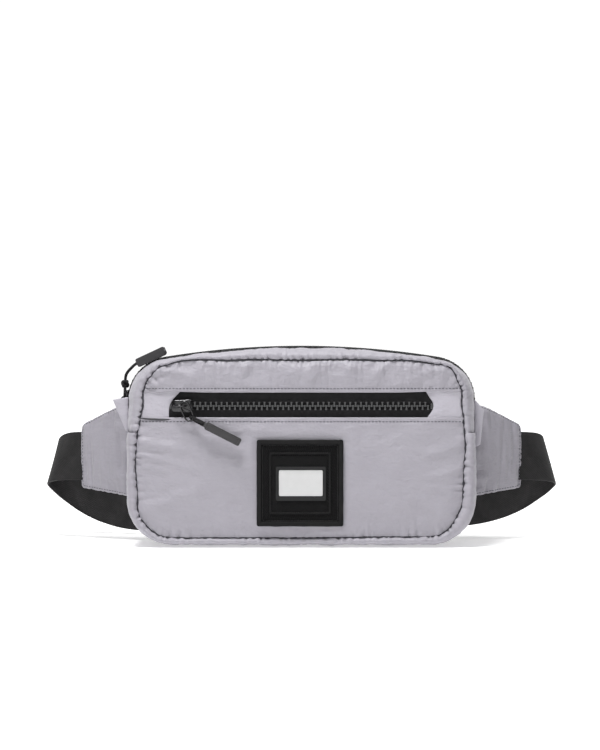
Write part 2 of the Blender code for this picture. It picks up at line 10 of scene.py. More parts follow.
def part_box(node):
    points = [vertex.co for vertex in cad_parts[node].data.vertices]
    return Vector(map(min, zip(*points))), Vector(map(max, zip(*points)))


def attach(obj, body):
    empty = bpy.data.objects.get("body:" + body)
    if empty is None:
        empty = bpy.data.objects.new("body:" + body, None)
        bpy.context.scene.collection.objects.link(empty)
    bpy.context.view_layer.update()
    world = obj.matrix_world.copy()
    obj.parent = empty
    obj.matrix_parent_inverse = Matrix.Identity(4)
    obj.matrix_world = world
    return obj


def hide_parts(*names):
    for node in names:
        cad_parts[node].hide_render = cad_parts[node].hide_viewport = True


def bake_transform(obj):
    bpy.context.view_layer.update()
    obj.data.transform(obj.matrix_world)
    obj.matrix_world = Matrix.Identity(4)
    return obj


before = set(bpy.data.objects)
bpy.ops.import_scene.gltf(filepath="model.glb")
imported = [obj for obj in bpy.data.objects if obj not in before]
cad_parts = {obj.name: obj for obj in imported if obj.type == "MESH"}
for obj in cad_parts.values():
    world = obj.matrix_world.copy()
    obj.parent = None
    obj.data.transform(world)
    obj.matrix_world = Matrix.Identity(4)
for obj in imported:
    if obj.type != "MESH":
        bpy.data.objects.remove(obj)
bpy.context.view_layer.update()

# The pouch's outline in the front view, as the CAD has it
HALF_WIDTH = 0.131
HEIGHT = 0.148
TOP_CORNER_X = 0.099
TOP_CORNER_Z = 0.108
TOP_CORNER_R = 0.032
BOTTOM_CORNER_X = 0.097
BOTTOM_CORNER_R = 0.034
TOP_ARC_R = ((TOP_CORNER_X ** 2 + (HEIGHT - TOP_CORNER_Z) ** 2 - TOP_CORNER_R ** 2)
             / (2 * (HEIGHT - TOP_CORNER_Z - TOP_CORNER_R)))
SEAM_Z = 0.083
SEAM_INSET = 0.0092
FRONT_SEAM_Y = -0.0334
REAR_SEAM_Y = 0.0345
REAR_INSET = 0.009
MIDDLE_Z = HEIGHT / 2

# The front zip's band
POCKET_Z = 0.1039
FOLD_LOW = 0.0947
STITCH_LINES = (0.0922, 0.1169)
FOLD_HIGH = 0.1146
WINDOW_LEFT = -0.0985
WINDOW_RIGHT = 0.0990
BAND_Y = -0.0337

WEBBING_WIDTH = 0.038
WEBBING_THICK = 0.0015

# Points across the front cloths, length of the cloth simulation, and the roll of a folded edge
FRONT_COLUMNS = 104
PUFF_FRAMES = 20
FOLD_RADIUS = 0.0008

GREY = (0.315, 0.302, 0.338)


# Outline

def arc(centre_x, centre_z, radius, start, end, steps):
    """Points of an arc in the front view, from one angle in degrees to another."""
    points = []
    for i in range(steps + 1):
        a = math.radians(start + (end - start) * i / steps)
        points.append((centre_x + radius * math.cos(a), centre_z + radius * math.sin(a)))
    return points


def top_turn():
    """Angle in degrees at which the arched top meets its corners."""
    return math.degrees(math.atan2(TOP_CORNER_Z - HEIGHT + TOP_ARC_R, TOP_CORNER_X))


def lower_outline(inset, lap=0.0):
    """The outline's sides and foot, from the left seam round to the right one."""
    side = HALF_WIDTH - inset
    radius = BOTTOM_CORNER_R - inset
    return ([(-side, SEAM_Z + lap)] + arc(-BOTTOM_CORNER_X, BOTTOM_CORNER_R, radius, 180, 270, 24)
            + arc(BOTTOM_CORNER_X, BOTTOM_CORNER_R, radius, 270, 360, 24) + [(side, SEAM_Z + lap)])


def upper_outline(inset, lap=0.0):
    """The outline's head, from the right seam over to the left one."""
    side = HALF_WIDTH - inset
    turn = top_turn()
    radius = TOP_CORNER_R - inset
    return ([(side, SEAM_Z - lap)] + arc(TOP_CORNER_X, TOP_CORNER_Z, radius, 0, turn, 24)
            + arc(0, HEIGHT - TOP_ARC_R, TOP_ARC_R - inset, turn, 180 - turn, 40)[1:-1]
            + arc(-TOP_CORNER_X, TOP_CORNER_Z, radius, 180 - turn, 180, 24) + [(-side, SEAM_Z - lap)])


def standing(points):
    """Points of the front view as places in space, at depth 0."""
    return [Vector((x, 0, z)) for x, z in points]


def spread(points, count):
    """count + 1 points evenly along a polyline."""
    points = [Vector(p) for p in points]
    lengths = [0.0]
    for a, b in zip(points, points[1:]):
        lengths.append(lengths[-1] + (b - a).length)
    found, k = [], 0
    for i in range(count + 1):
        want = lengths[-1] * i / count
        while k < len(lengths) - 2 and lengths[k + 1] < want:
            k += 1
        part = (want - lengths[k]) / max(lengths[k + 1] - lengths[k], 1e-9)
        found.append(points[k].lerp(points[k + 1], part))
    return found


def smooth_route(points, steps):
    """A Catmull-Rom curve through the points, with steps stretches between each two."""
    knots = [Vector(p) for p in points]
    knots = [2 * knots[0] - knots[1]] + knots + [2 * knots[-1] - knots[-2]]
    route = []
    for a, b, c, d in zip(knots, knots[1:], knots[2:], knots[3:]):
        for i in range(steps):
            t = i / steps
            route.append(0.5 * ((2 * b) + (c - a) * t + (2 * a - 5 * b + 4 * c - d) * t ** 2
                                + (3 * b - a - 3 * c + d) * t ** 3))
    return route + [knots[-2]]


def edge_of(x, z):
    """How far (x, z) is inside the pouch's outline, and the outline's nearest point."""
    side = 1 if x >= 0 else -1
    ax = abs(x)
    if ax > BOTTOM_CORNER_X and z < BOTTOM_CORNER_R:
        away = Vector((ax - BOTTOM_CORNER_X, z - BOTTOM_CORNER_R))
        on = Vector((BOTTOM_CORNER_X, BOTTOM_CORNER_R)) + away.normalized() * BOTTOM_CORNER_R
        return BOTTOM_CORNER_R - away.length, side * on.x, on.y
    if ax > TOP_CORNER_X and z > TOP_CORNER_Z:
        away = Vector((ax - TOP_CORNER_X, z - TOP_CORNER_Z))
        on = Vector((TOP_CORNER_X, TOP_CORNER_Z)) + away.normalized() * TOP_CORNER_R
        return TOP_CORNER_R - away.length, side * on.x, on.y
    centre_z = HEIGHT - TOP_ARC_R
    to_top = TOP_ARC_R - math.hypot(x, z - centre_z)
    found = [(HALF_WIDTH - ax, side * HALF_WIDTH, z), (z, x, 0.0), (to_top, x, z + to_top)]
    return min(found)


# Mesh helpers

def link(obj):
    """Puts an object in the scene."""
    bpy.context.scene.collection.objects.link(obj)
    return obj


def finished(name, work, material):
    """A smooth object made from a bmesh, which is freed."""
    mesh = bpy.data.meshes.new(name)
    work.to_mesh(mesh)
    work.free()
    mesh.shade_smooth()
    mesh.materials.append(material)
    return link(bpy.data.objects.new(name, mesh))


def settle(obj, body, slot, *nodes):
    """Rides a body and stands for the CAD nodes named; slot, a material slot's name, is not used."""
    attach(obj, body)
    if nodes:
        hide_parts(*nodes)
    return obj


def face_front(obj):
    """Turns a sheet's faces toward the front."""
    if obj.data.polygons[0].normal.y > 0:
        obj.data.flip_normals()


def skin(work, rings, closed=False):
    """Faces between rings of points, with their ends capped unless they close on themselves."""
    rows = [[work.verts.new(p) for p in ring] for ring in rings]
    n = len(rows[0])
    pairs = list(zip(rows, rows[1:])) + ([(rows[-1], rows[0])] if closed else [])
    for here, there in pairs:
        for k in range(n):
            m = (k + 1) % n
            work.faces.new((here[k], here[m], there[m], there[k]))
    if not closed:
        work.faces.new(rows[0][::-1])
        work.faces.new(rows[-1])


def sheet_mesh(name, rows, material):
    """A quad sheet through rows of points, with UVs in metres measured along it."""
    work = bmesh.new()
    uv = work.loops.layers.uv.new("metres")
    verts = [[work.verts.new(p) for p in row] for row in rows]
    mid = len(rows) // 2
    across = [0.0]
    for a, b in zip(rows[mid], rows[mid][1:]):
        across.append(across[-1] + (Vector(b) - Vector(a)).length)
    half = len(rows[0]) // 2
    along = [0.0]
    for a, b in zip(rows, rows[1:]):
        along.append(along[-1] + (Vector(b[half]) - Vector(a[half])).length)
    for i in range(len(rows) - 1):
        low, high = along[i], along[i + 1]
        for k in range(len(rows[0]) - 1):
            face = work.faces.new((verts[i][k], verts[i][k + 1], verts[i + 1][k + 1], verts[i + 1][k]))
            corners = ((across[k], low), (across[k + 1], low), (across[k + 1], high), (across[k], high))
            for loop, co in zip(face.loops, corners):
                loop[uv].uv = co
    return finished(name, work, material)


def coons(bottom, top, left, right):
    """Rows of points inside four edges; bottom and top run one way, left and right go up."""
    rows = []
    n, m = len(bottom) - 1, len(left) - 1
    for j in range(m + 1):
        v = j / m
        row = []
        for i in range(n + 1):
            u = i / n
            ruled = bottom[i] * (1 - v) + top[i] * v + left[j] * (1 - u) + right[j] * u
            corner = ((bottom[0] * (1 - u) + bottom[n] * u) * (1 - v) + (top[0] * (1 - u) + top[n] * u) * v)
            row.append(ruled - corner)
        rows.append(row)
    return rows


def swept(name, rings, material, closed=False):
    """A tube mesh through rings of points."""
    work = bmesh.new()
    skin(work, rings, closed)
    bmesh.ops.recalc_face_normals(work, faces=work.faces)
    return finished(name, work, material)


def tube_rings(points, radius, sides, flat=1.0):
    """Rings round a route; radius may be a number or a function of 0 to 1."""
    rings = []
    normal = None
    count = len(points)
    for i, p in enumerate(points):
        along = (points[min(i + 1, count - 1)] - points[max(i - 1, 0)]).normalized()
        if normal is None:
            normal = along.orthogonal().normalized()
        normal = (normal - along * normal.dot(along)).normalized()
        side = along.cross(normal)
        r = radius(i / (count - 1)) if callable(radius) else radius
        ring = []
        for k in range(sides):
            a = 2 * math.pi * k / sides
            ring.append(p + normal * r * math.cos(a) + side * r * flat * math.sin(a))
        rings.append(ring)
    return rings


def join(name, objects):
    """One object from several, with each one's material kept."""
    work = bmesh.new()
    mesh = bpy.data.meshes.new(name)
    materials = []
    work.loops.layers.uv.new("metres")
    for obj in objects:
        slots = []
        for m in obj.data.materials:
            if m not in materials:
                materials.append(m)
            slots.append(materials.index(m))
        start = len(work.faces)
        work.from_mesh(obj.data)
        work.faces.ensure_lookup_table()
        for face in work.faces[start:]:
            face.material_index = slots[face.material_index]
        bpy.data.objects.remove(obj, do_unlink=True)
    work.to_mesh(mesh)
    work.free()
    for m in materials:
        mesh.materials.append(m)
    return link(bpy.data.objects.new(name, mesh))


def apply_modifiers(obj):
    """Replaces an object's mesh with what its modifiers make of it."""
    graph = bpy.context.evaluated_depsgraph_get()
    done = obj.evaluated_get(graph)
    mesh = bpy.data.meshes.new_from_object(done, preserve_all_data_layers=True, depsgraph=graph)
    obj.modifiers.clear()
    old = obj.data
    obj.data = mesh
    bpy.data.meshes.remove(old)
    return obj


def refine(obj):
    """Splits and smooths a mesh once."""
    fine = obj.modifiers.new("fine", "SUBSURF")
    fine.levels = 1
    fine.render_levels = 1
    return apply_modifiers(obj)


def sheet_places(obj):
    """Each point's place on the flat cloth, in metres."""
    places = [None] * len(obj.data.vertices)
    layer = obj.data.uv_layers["metres"].data
    for loop in obj.data.loops:
        places[loop.vertex_index] = layer[loop.index].uv.copy()
    return places


def thicken(obj, thickness, offset, levels, inner=None):
    """Gives a sheet its thickness, then smooths it; inner is the material of its reverse side."""
    shell = obj.modifiers.new("thickness", "SOLIDIFY")
    shell.thickness = thickness
    shell.offset = offset
    if inner:
        obj.data.materials.append(inner)
        shell.material_offset = 1
    if levels:
        fine = obj.modifiers.new("smooth", "SUBSURF")
        fine.levels = levels
        fine.render_levels = levels
    return apply_modifiers(obj)


def rectangle(x0, x1, z0, z1, radius, steps):
    """Outline of a rectangle with rounded corners, in the front view."""
    return (arc(x0 + radius, z0 + radius, radius, 180, 270, steps)
            + arc(x1 - radius, z0 + radius, radius, 270, 360, steps)
            + arc(x1 - radius, z1 - radius, radius, 0, 90, steps)
            + arc(x0 + radius, z1 - radius, radius, 90, 180, steps))


def stitches(name, route, out, pitch, length, radius, material):
    """A row of separate threads along a route, each a small bow that stands out of the cloth.

    out is a direction, or a function of the route's point that gives it.
    """
    total = sum((b - a).length for a, b in zip(route, route[1:]))
    count = max(int(total / pitch), 1)
    places = spread(route, count * 2)
    work = bmesh.new()
    for i in range(count):
        middle = places[2 * i + 1]
        along = (places[2 * i + 2] - places[2 * i]).normalized()
        normal = out(middle) if callable(out) else Vector(out)
        bow = []
        for k in range(5):
            t = k / 4 * 2 - 1
            bow.append(middle + along * t * length / 2 + normal * radius * (0.9 - 1.5 * t * t))
        skin(work, tube_rings(bow, radius, 6))
    bmesh.ops.recalc_face_normals(work, faces=work.faces)
    return finished(name, work, material)


# Cloth

def puff(obj, pinned, pressure, cap, growth):
    """Inflates a sheet held at its pinned points, and scales the result: most points move less than cap."""
    start = [v.co.copy() for v in obj.data.vertices]
    group = obj.vertex_groups.new(name="pinned")
    for index, weight in pinned.items():
        group.add([index], weight, "REPLACE")
    cloth = obj.modifiers.new("cloth", "CLOTH")
    settings = cloth.settings
    settings.vertex_group_mass = "pinned"
    settings.mass = 0.1
    settings.tension_stiffness = 20
    settings.compression_stiffness = 12
    settings.shear_stiffness = 6
    settings.bending_stiffness = 0.08
    settings.use_pressure = True
    settings.uniform_pressure_force = pressure
    settings.shrink_min = -growth
    settings.effector_weights.gravity = 0
    settings.quality = 6
    cloth.point_cache.frame_start = 1
    cloth.point_cache.frame_end = PUFF_FRAMES
    scene = bpy.context.scene
    for frame_number in range(1, PUFF_FRAMES + 1):
        scene.frame_set(frame_number)
    graph = bpy.context.evaluated_depsgraph_get()
    done = obj.evaluated_get(graph).data
    moved = [v.co.copy() for v in done.vertices]
    obj.modifiers.remove(cloth)
    scene.frame_set(1)
    sizes = sorted((after - before).length for before, after in zip(start, moved))
    share = min(1, cap / max(sizes[int(len(sizes) * 0.97)], 1e-9))
    for vertex, before, after in zip(obj.data.vertices, start, moved):
        vertex.co = before.lerp(after, share)


def ripple(point, scale, seed):
    """Smooth noise between about -1 and 1 at a point; a larger scale gives smaller bumps."""
    return noise.noise(Vector(point) * scale + Vector((seed, seed * 0.7, 3.1)))


# Materials

class Nodes:
    """A short way to write a node tree."""

    def __init__(self, name, color, roughness, metallic=0.0):
        self.material = bpy.data.materials.new(name)
        self.material.use_nodes = True
        self.tree = self.material.node_tree
        self.shader = self.tree.nodes["Principled BSDF"]
        self.shader.inputs["Base Color"].default_value = (*color, 1)
        self.shader.inputs["Roughness"].default_value = roughness
        self.shader.inputs["Metallic"].default_value = metallic
        self.material.diffuse_color = (*color, 1)

    def add(self, kind, inputs=None, **values):
        node = self.tree.nodes.new(kind)
        for key, value in values.items():
            setattr(node, key, value)
        for key, value in (inputs or {}).items():
            if isinstance(value, bpy.types.NodeSocket):
                self.tree.links.new(value, node.inputs[key])
            else:
                node.inputs[key].default_value = value
        return node

    def space(self, kind, scale=(1, 1, 1), turn=0.0):
        """UV in metres, or the object's own place in metres, scaled and turned."""
        source = self.add("ShaderNodeTexCoord").outputs[kind]
        inputs = {"Vector": source, "Scale": scale, "Rotation": (0, 0, turn)}
        return self.add("ShaderNodeMapping", inputs).outputs[0]

    def noise(self, where, scale, detail=2.0, roughness=0.5):
        inputs = {"Vector": where, "Scale": scale, "Detail": detail, "Roughness": roughness}
        return self.add("ShaderNodeTexNoise", inputs).outputs["Fac"]

    def bands(self, where, pitch, direction="X"):
        """Stripes of the given pitch in metres."""
        inputs = {"Vector": where, "Scale": 1 / pitch / 3.1831, "Distortion": 0.0}
        return self.add("ShaderNodeTexWave", inputs, bands_direction=direction).outputs["Fac"]

    def wave(self, value, pitch):
        """Sine of a length in metres, with the given pitch."""
        return self.math("SINE", self.math("MULTIPLY", value, 2 * math.pi / pitch))

    def math(self, operation, a, b=0.0):
        return self.add("ShaderNodeMath", {0: a, 1: b}, operation=operation).outputs[0]

    def ramp(self, value, low, high, to_low=0.0, to_high=1.0):
        inputs = {"Value": value, "From Min": low, "From Max": high, "To Min": to_low, "To Max": to_high}
        return self.add("ShaderNodeMapRange", inputs).outputs[0]

    def bump(self, height, distance, strength=1.0, over=None):
        inputs = {"Height": height, "Distance": distance, "Strength": strength}
        if over is not None:
            inputs["Normal"] = over
        out = self.add("ShaderNodeBump", inputs).outputs[0]
        self.tree.links.new(out, self.shader.inputs["Normal"])
        return out

    def tint(self, value, dark, light):
        mixed = self.add("ShaderNodeMix", {"Factor": value}, data_type="RGBA")
        mixed.inputs["A"].default_value = (*dark, 1)
        mixed.inputs["B"].default_value = (*light, 1)
        self.tree.links.new(mixed.outputs["Result"], self.shader.inputs["Base Color"])

    def rough(self, value, low, high):
        self.tree.links.new(self.ramp(value, 0, 1, low, high), self.shader.inputs["Roughness"])


def scaled(color, factor):
    """A colour made darker or lighter."""
    return tuple(min(c * factor, 1) for c in color)


def shell_fabric(name, coordinate="UV", color=GREY):
    """Crisp padded nylon: fine plain weave, a faint ripstop grid and small crumples."""
    n = Nodes(name, color, 0.46)
    where = n.space(coordinate)
    warp = n.bands(where, 0.00042)
    weft = n.bands(where, 0.00042, "Y")
    weave = n.math("ADD", warp, weft)
    grid_x = n.ramp(n.bands(where, 0.0032, "X"), 0.93, 1.0)
    grid_y = n.ramp(n.bands(where, 0.0032, "Y"), 0.93, 1.0)
    grid = n.math("MAXIMUM", grid_x, grid_y)
    crumple = n.noise(n.space(coordinate, (1, 1.9, 1)), 230, 4, 0.62)
    soft = n.noise(where, 55, 3, 0.55)
    rough = n.noise(where, 900, 2)
    first = n.bump(weave, 0.00006, 0.35)
    second = n.bump(grid, 0.00007, 0.35, first)
    third = n.bump(crumple, 0.0012, 0.55, second)
    n.bump(soft, 0.0040, 0.45, third)
    shade = n.math("ADD", n.math("MULTIPLY", soft, 0.55), n.math("MULTIPLY", crumple, 0.45))
    n.tint(n.ramp(shade, 0.3, 0.7), scaled(color, 0.955), scaled(color, 1.05))
    n.rough(rough, 0.42, 0.54)
    n.shader.inputs["Sheen Weight"].default_value = 0.12
    n.shader.inputs["Sheen Roughness"].default_value = 0.4
    n.shader.inputs["Specular IOR Level"].default_value = 0.45
    return n.material


def lining_fabric(name, coordinate="UV"):
    """Dark, soft lining cloth."""
    n = Nodes(name, (0.03, 0.03, 0.034), 0.7)
    where = n.space(coordinate)
    weave = n.math("ADD", n.bands(where, 0.0005), n.bands(where, 0.0005, "Y"))
    first = n.bump(weave, 0.0001, 0.5)
    n.bump(n.noise(where, 120, 4), 0.001, 0.4, first)
    n.tint(n.noise(where, 60, 3), (0.022, 0.022, 0.025), (0.042, 0.042, 0.048))
    return n.material


def thread(name, color):
    """Twisted sewing thread."""
    n = Nodes(name, color, 0.6)
    where = n.space("Object")
    twist = n.bands(n.space("Object", (1, 1, 1), 0.7), 0.0003)
    n.bump(twist, 0.00008, 0.6)
    n.tint(n.noise(where, 500, 2), scaled(color, 0.85), scaled(color, 1.12))
    return n.material


def webbing(name):
    """Belt webbing: a fine twill face between two plain selvedges."""
    n = Nodes(name, (0.02, 0.02, 0.022), 0.62)
    where = n.space("UV")
    split = n.add("ShaderNodeSeparateXYZ", {"Vector": where})
    across = n.math("ABSOLUTE", n.math("SUBTRACT", split.outputs["X"], WEBBING_WIDTH / 2))
    chevron = n.wave(n.math("ADD", across, split.outputs["Y"]), 0.0017)
    picks = n.bands(where, 0.0009, "Y")
    ends = n.bands(where, 0.0011, "X")
    edge = n.ramp(across, 0.0163, 0.0170)
    face = n.add("ShaderNodeMix", {"Factor": edge, "A": n.ramp(chevron, -1, 1), "B": picks})
    fine = n.bump(n.math("MULTIPLY", ends, picks), 0.00022, 0.6)
    n.bump(face.outputs["Result"], 0.00030, 0.55, fine)
    wear_and_edge_highlight = n.noise(where, 70, 4, 0.6)
    shade = n.ramp(n.math("ADD", n.math("MULTIPLY", chevron, 0.12), wear_and_edge_highlight), 0.25, 0.8)
    n.tint(shade, (0.0072, 0.0070, 0.0072), (0.0262, 0.0250, 0.0256))
    n.rough(wear_and_edge_highlight, 0.55, 0.72)
    n.shader.inputs["Specular IOR Level"].default_value = 0.2
    return n.material


def tape_fabric(name, coordinate="UV", pitch=0.0008, color=(0.0075, 0.0072, 0.0080)):
    """Herringbone zip tape and binding tape."""
    n = Nodes(name, color, 0.72)
    where = n.space(coordinate)
    slant = n.bands(n.space(coordinate, (1, 1, 1), 0.9), pitch)
    ribs = n.bands(where, pitch * 0.8, "Y")
    first = n.bump(slant, 0.0002, 0.6)
    n.bump(ribs, 0.0001, 0.5, first)
    n.tint(n.ramp(n.noise(where, 160, 3), 0.3, 0.7), scaled(color, 0.8), scaled(color, 1.5))
    n.shader.inputs["Specular IOR Level"].default_value = 0.22
    return n.material


def moulded(name, color, roughness, grain, coat=0.0):
    """Moulded plastic or rubber, with a fine grain, a random tone and a painted highlight along its convex
    edges.
    """
    n = Nodes(name, color, roughness)
    where = n.space("Object")
    fine = n.noise(where, 2600, 3, 0.6)
    broad = n.noise(where, 90, 3)
    n.bump(fine, grain, 0.6)
    # Lighter along convex edges, by their pointiness: painted highlight.
    edge = n.add("ShaderNodeNewGeometry").outputs["Pointiness"]
    wear_and_edge_highlight = n.ramp(edge, 0.5, 0.62)
    n.tint(n.math("ADD", n.math("MULTIPLY", broad, 0.4), n.math("MULTIPLY", wear_and_edge_highlight, 0.5)),
           scaled(color, 0.85), tuple(c * 1.7 + 0.004 for c in color))
    n.rough(broad, roughness - 0.06, roughness + 0.10)
    n.shader.inputs["Coat Weight"].default_value = coat
    n.shader.inputs["Specular IOR Level"].default_value = 0.35
    return n.material


def coated_metal(name):
    """Black lacquered zinc, glossy, with faint orange peel."""
    n = Nodes(name, (0.018, 0.018, 0.020), 0.2, 0.65)
    where = n.space("Object")
    n.bump(n.noise(where, 700, 2), 0.00005, 0.4)
    n.tint(n.noise(where, 140, 3), (0.012, 0.012, 0.013), (0.035, 0.034, 0.036))
    n.rough(n.noise(where, 260, 3), 0.14, 0.32)
    n.shader.inputs["Coat Weight"].default_value = 0.4
    n.shader.inputs["Coat Roughness"].default_value = 0.12
    return n.material


def braid(name, pitch=0.0011):
    """Braided cord: two slanted sets of strands."""
    n = Nodes(name, (0.014, 0.0135, 0.0145), 0.66)
    one = n.bands(n.space("UV", (1, 1, 1), 0.75), pitch)
    two = n.bands(n.space("UV", (1, 1, 1), -0.75), pitch)
    strands = n.math("MAXIMUM", one, two)
    n.bump(strands, 0.00035, 0.8)
    n.tint(strands, (0.003, 0.003, 0.0035), (0.012, 0.0115, 0.0125))
    n.shader.inputs["Specular IOR Level"].default_value = 0.25
    return n.material


def patch_weave(name, pitch=0.0016):
    """Woven patch: slanted ribs down its sides, upright ribs above and below, and a grid in the middle."""
    n = Nodes(name, (0.013, 0.0128, 0.0135), 0.62)
    split = n.add("ShaderNodeSeparateXYZ", {"Vector": n.space("Object")})
    low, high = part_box("patch_base")
    dx = n.math("SUBTRACT", split.outputs["X"], (low[0] + high[0]) / 2)
    dz = n.math("SUBTRACT", split.outputs["Z"], (low[2] + high[2]) / 2)
    ax = n.math("ABSOLUTE", dx)
    az = n.math("ABSOLUTE", dz)
    slant = n.wave(n.math("ADD", ax, n.math("MULTIPLY", dz, 0.7)), pitch)
    upright = n.wave(n.math("ADD", dx, n.math("MULTIPLY", az, 0.35)), pitch)
    beside = n.math("GREATER_THAN", ax, az)
    ribs = n.add("ShaderNodeMix", {"Factor": beside, "A": upright, "B": slant}).outputs["Result"]
    grid = n.math("MULTIPLY", n.wave(dx, 0.0011), n.wave(dz, 0.0011))
    middle = n.math("LESS_THAN", n.math("MAXIMUM", ax, az), 0.0205)
    woven = n.add("ShaderNodeMix", {"Factor": middle, "A": ribs, "B": grid}).outputs["Result"]
    height = n.ramp(woven, -1, 1)
    n.bump(height, 0.00045, 0.85)
    n.tint(height, (0.0008, 0.0008, 0.0009), (0.0072, 0.0070, 0.0076))
    n.shader.inputs["Specular IOR Level"].default_value = 0.12
    return n.material


def label_plastic(name):
    """Plain satin label with a faint weave under its surface."""
    n = Nodes(name, (0.42, 0.42, 0.42), 0.38)
    where = n.space("Object")
    threads = n.math("MULTIPLY", n.bands(where, 0.00045), n.bands(where, 0.00045, "Z"))
    n.bump(threads, 0.00005, 0.4)
    n.tint(n.noise(where, 200, 3), (0.50, 0.50, 0.50), (0.55, 0.55, 0.55))
    return n.material


def foam(name):
    """White open-cell foam."""
    n = Nodes(name, (0.7, 0.7, 0.7), 0.9)
    where = n.space("Object")
    cells = n.noise(where, 900, 4, 0.7)
    n.bump(cells, 0.0006, 0.7)
    n.tint(cells, (0.55, 0.55, 0.55), (0.78, 0.78, 0.78))
    return n.material


def studio_floor(name):
    """Pale floor that glows more with distance, so that it meets the background without a line."""
    n = Nodes(name, (0.92, 0.92, 0.92), 0.6)
    where = n.space("Object")
    n.tint(n.noise(where, 3, 3), (0.915, 0.915, 0.915), (0.925, 0.925, 0.925))
    n.bump(n.noise(where, 300, 2), 0.0002, 0.1)
    n.shader.inputs["Emission Color"].default_value = (1, 1, 1, 1)
    far = n.add("ShaderNodeSeparateXYZ", {"Vector": where}).outputs["Y"]
    n.tree.links.new(n.ramp(far, 0.25, 1.5, 0.38, 0.95), n.shader.inputs["Emission Strength"])
    return n.material


SHELL = shell_fabric("shell_nylon")
# Darker copy of the shell nylon for the wings: painted shade, where they turn away from the light.
PAINTED_SHADE_WING_SHELL = shell_fabric("shell_nylon_wings_painted_shade", color=scaled(GREY, 0.87))
# Lighter copy of the shell nylon for the zip band's end pieces and the ears: painted light.
PAINTED_LIGHT_BAND_SHELL = shell_fabric("shell_nylon_band_painted_light", color=scaled(GREY, 1.28))
LINING = lining_fabric("lining")
# Dark thread of the seam lines, dark enough to paint the shade in the seams' grooves as well.
SEAM_THREAD_AND_PAINTED_SHADE = thread("seam_thread_and_painted_shade", (0.022, 0.021, 0.028))
GREY_THREAD = thread("grey_thread", (0.085, 0.082, 0.100))
BLACK_THREAD = thread("black_thread", (0.012, 0.012, 0.013))
WEBBING = webbing("belt_webbing")
TAPE = tape_fabric("zip_tape")
BINDING = tape_fabric("binding_tape", "Object", 0.0012)
TOOTH_PLASTIC = moulded("tooth_plastic", (0.012, 0.012, 0.013), 0.20, 0.00001, 0.6)
BUCKLE_PLASTIC = moulded("buckle_plastic", (0.014, 0.014, 0.0155), 0.42, 0.00006)
PULL_RUBBER = moulded("pull_rubber", (0.031, 0.030, 0.032), 0.42, 0.00005)
FRAME_RUBBER = moulded("label_frame", (0.004, 0.004, 0.0045), 0.48, 0.00004)
METAL = coated_metal("black_metal")
BRAID = braid("braided_cord")
PATCH = patch_weave("patch_weave")
PATCH_RIM = tape_fabric("patch_rim", "Object", 0.0009, (0.0040, 0.0039, 0.0042))
LABEL = label_plastic("label_face")
FOAM = foam("foam")


# Pouch cloth

def even_rim(outline, step=0.0025):
    """Evenly spaced points of an outline, each with the direction into the pouch."""
    start = standing(outline)
    length = sum((b - a).length for a, b in zip(start, start[1:]))
    count = round(length / step)
    points = spread(start, count)
    rim = []
    for i, p in enumerate(points):
        along = (points[min(i + 1, count)] - points[max(i - 1, 0)]).normalized()
        rim.append((p, Vector((-along.z, 0, along.x))))
    return rim


def displace(obj, amount):
    """Moves each point along its normal by amount(index, point)."""
    normals = [v.normal.copy() for v in obj.data.vertices]
    for i, v in enumerate(obj.data.vertices):
        v.co += normals[i] * amount(i, v.co)


def gathers(s, d, seed, depth):
    """Height of gathered cloth at s along its seam and d away from it: sharp dips between round puffs."""
    wobble = ripple((s, 0, 0), 95, seed) * 2.6 + ripple((s, d * 0.6, 0), 240, seed + 2) * 0.8
    wave = abs(math.cos(math.pi * s / 0.0062 + wobble)) ** 0.5 * 2 - 1.3
    strength = max(0.85 + 1.5 * ripple((s, 0, 0.2), 55, seed + 5), 0.15)
    reach = 0.0052 + 0.0036 * ripple((s, 0, 0.4), 60, seed + 9)
    return depth * wave * strength * min(d / 0.0010, 1) * math.exp(-max(d, 0) / reach)


FOLDS = [
    # start, end, half width and height of the soft folds of the front
    ((-0.120, 0.0770), (-0.082, 0.0700), 0.0050, 0.0008),
    ((-0.121, 0.0690), (-0.092, 0.0600), 0.0040, 0.0006),
    ((-0.119, 0.0600), (-0.098, 0.0540), 0.0035, 0.0004),
    ((-0.115, 0.0270), (-0.080, 0.0400), 0.0060, 0.0007),
    ((0.120, 0.0760), (0.090, 0.0660), 0.0055, 0.0007),
    ((0.119, 0.0560), (0.094, 0.0500), 0.0045, 0.0005),
    ((0.112, 0.0220), (0.078, 0.0380), 0.0060, 0.0007),
    ((-0.112, 0.1290), (-0.080, 0.1240), 0.0035, 0.0008),
    ((-0.118, 0.1180), (-0.098, 0.1220), 0.0030, 0.0005),
    ((0.110, 0.1300), (0.086, 0.1240), 0.0040, 0.0007),
    ((0.010, 0.1370), (0.004, 0.1190), 0.0045, 0.0010),
    ((0.034, 0.1370), (0.040, 0.1200), 0.0050, 0.0011),
    ((0.062, 0.1360), (0.056, 0.1220), 0.0045, 0.0008),
    ((-0.040, 0.1380), (-0.046, 0.1230), 0.0050, 0.0006),
    ((0.086, 0.1340), (0.080, 0.1230), 0.0040, 0.0006),
]


def folds(x, z):
    """Height of the soft folds at a place on the front."""
    total = 0.0
    here = Vector((x, z))
    for start, end, width, height in FOLDS:
        a, b = Vector(start), Vector(end)
        along = b - a
        t = (here - a).dot(along) / along.length_squared
        away = (here - a - along * t).length
        fade = math.exp(-max(0.0, -t) ** 2 * 9 - max(0.0, t - 0.3) ** 2 * 2.2)
        bend = away / width
        total += height * fade * (1 - bend * bend * 0.8) * math.exp(-bend * bend)
    return total


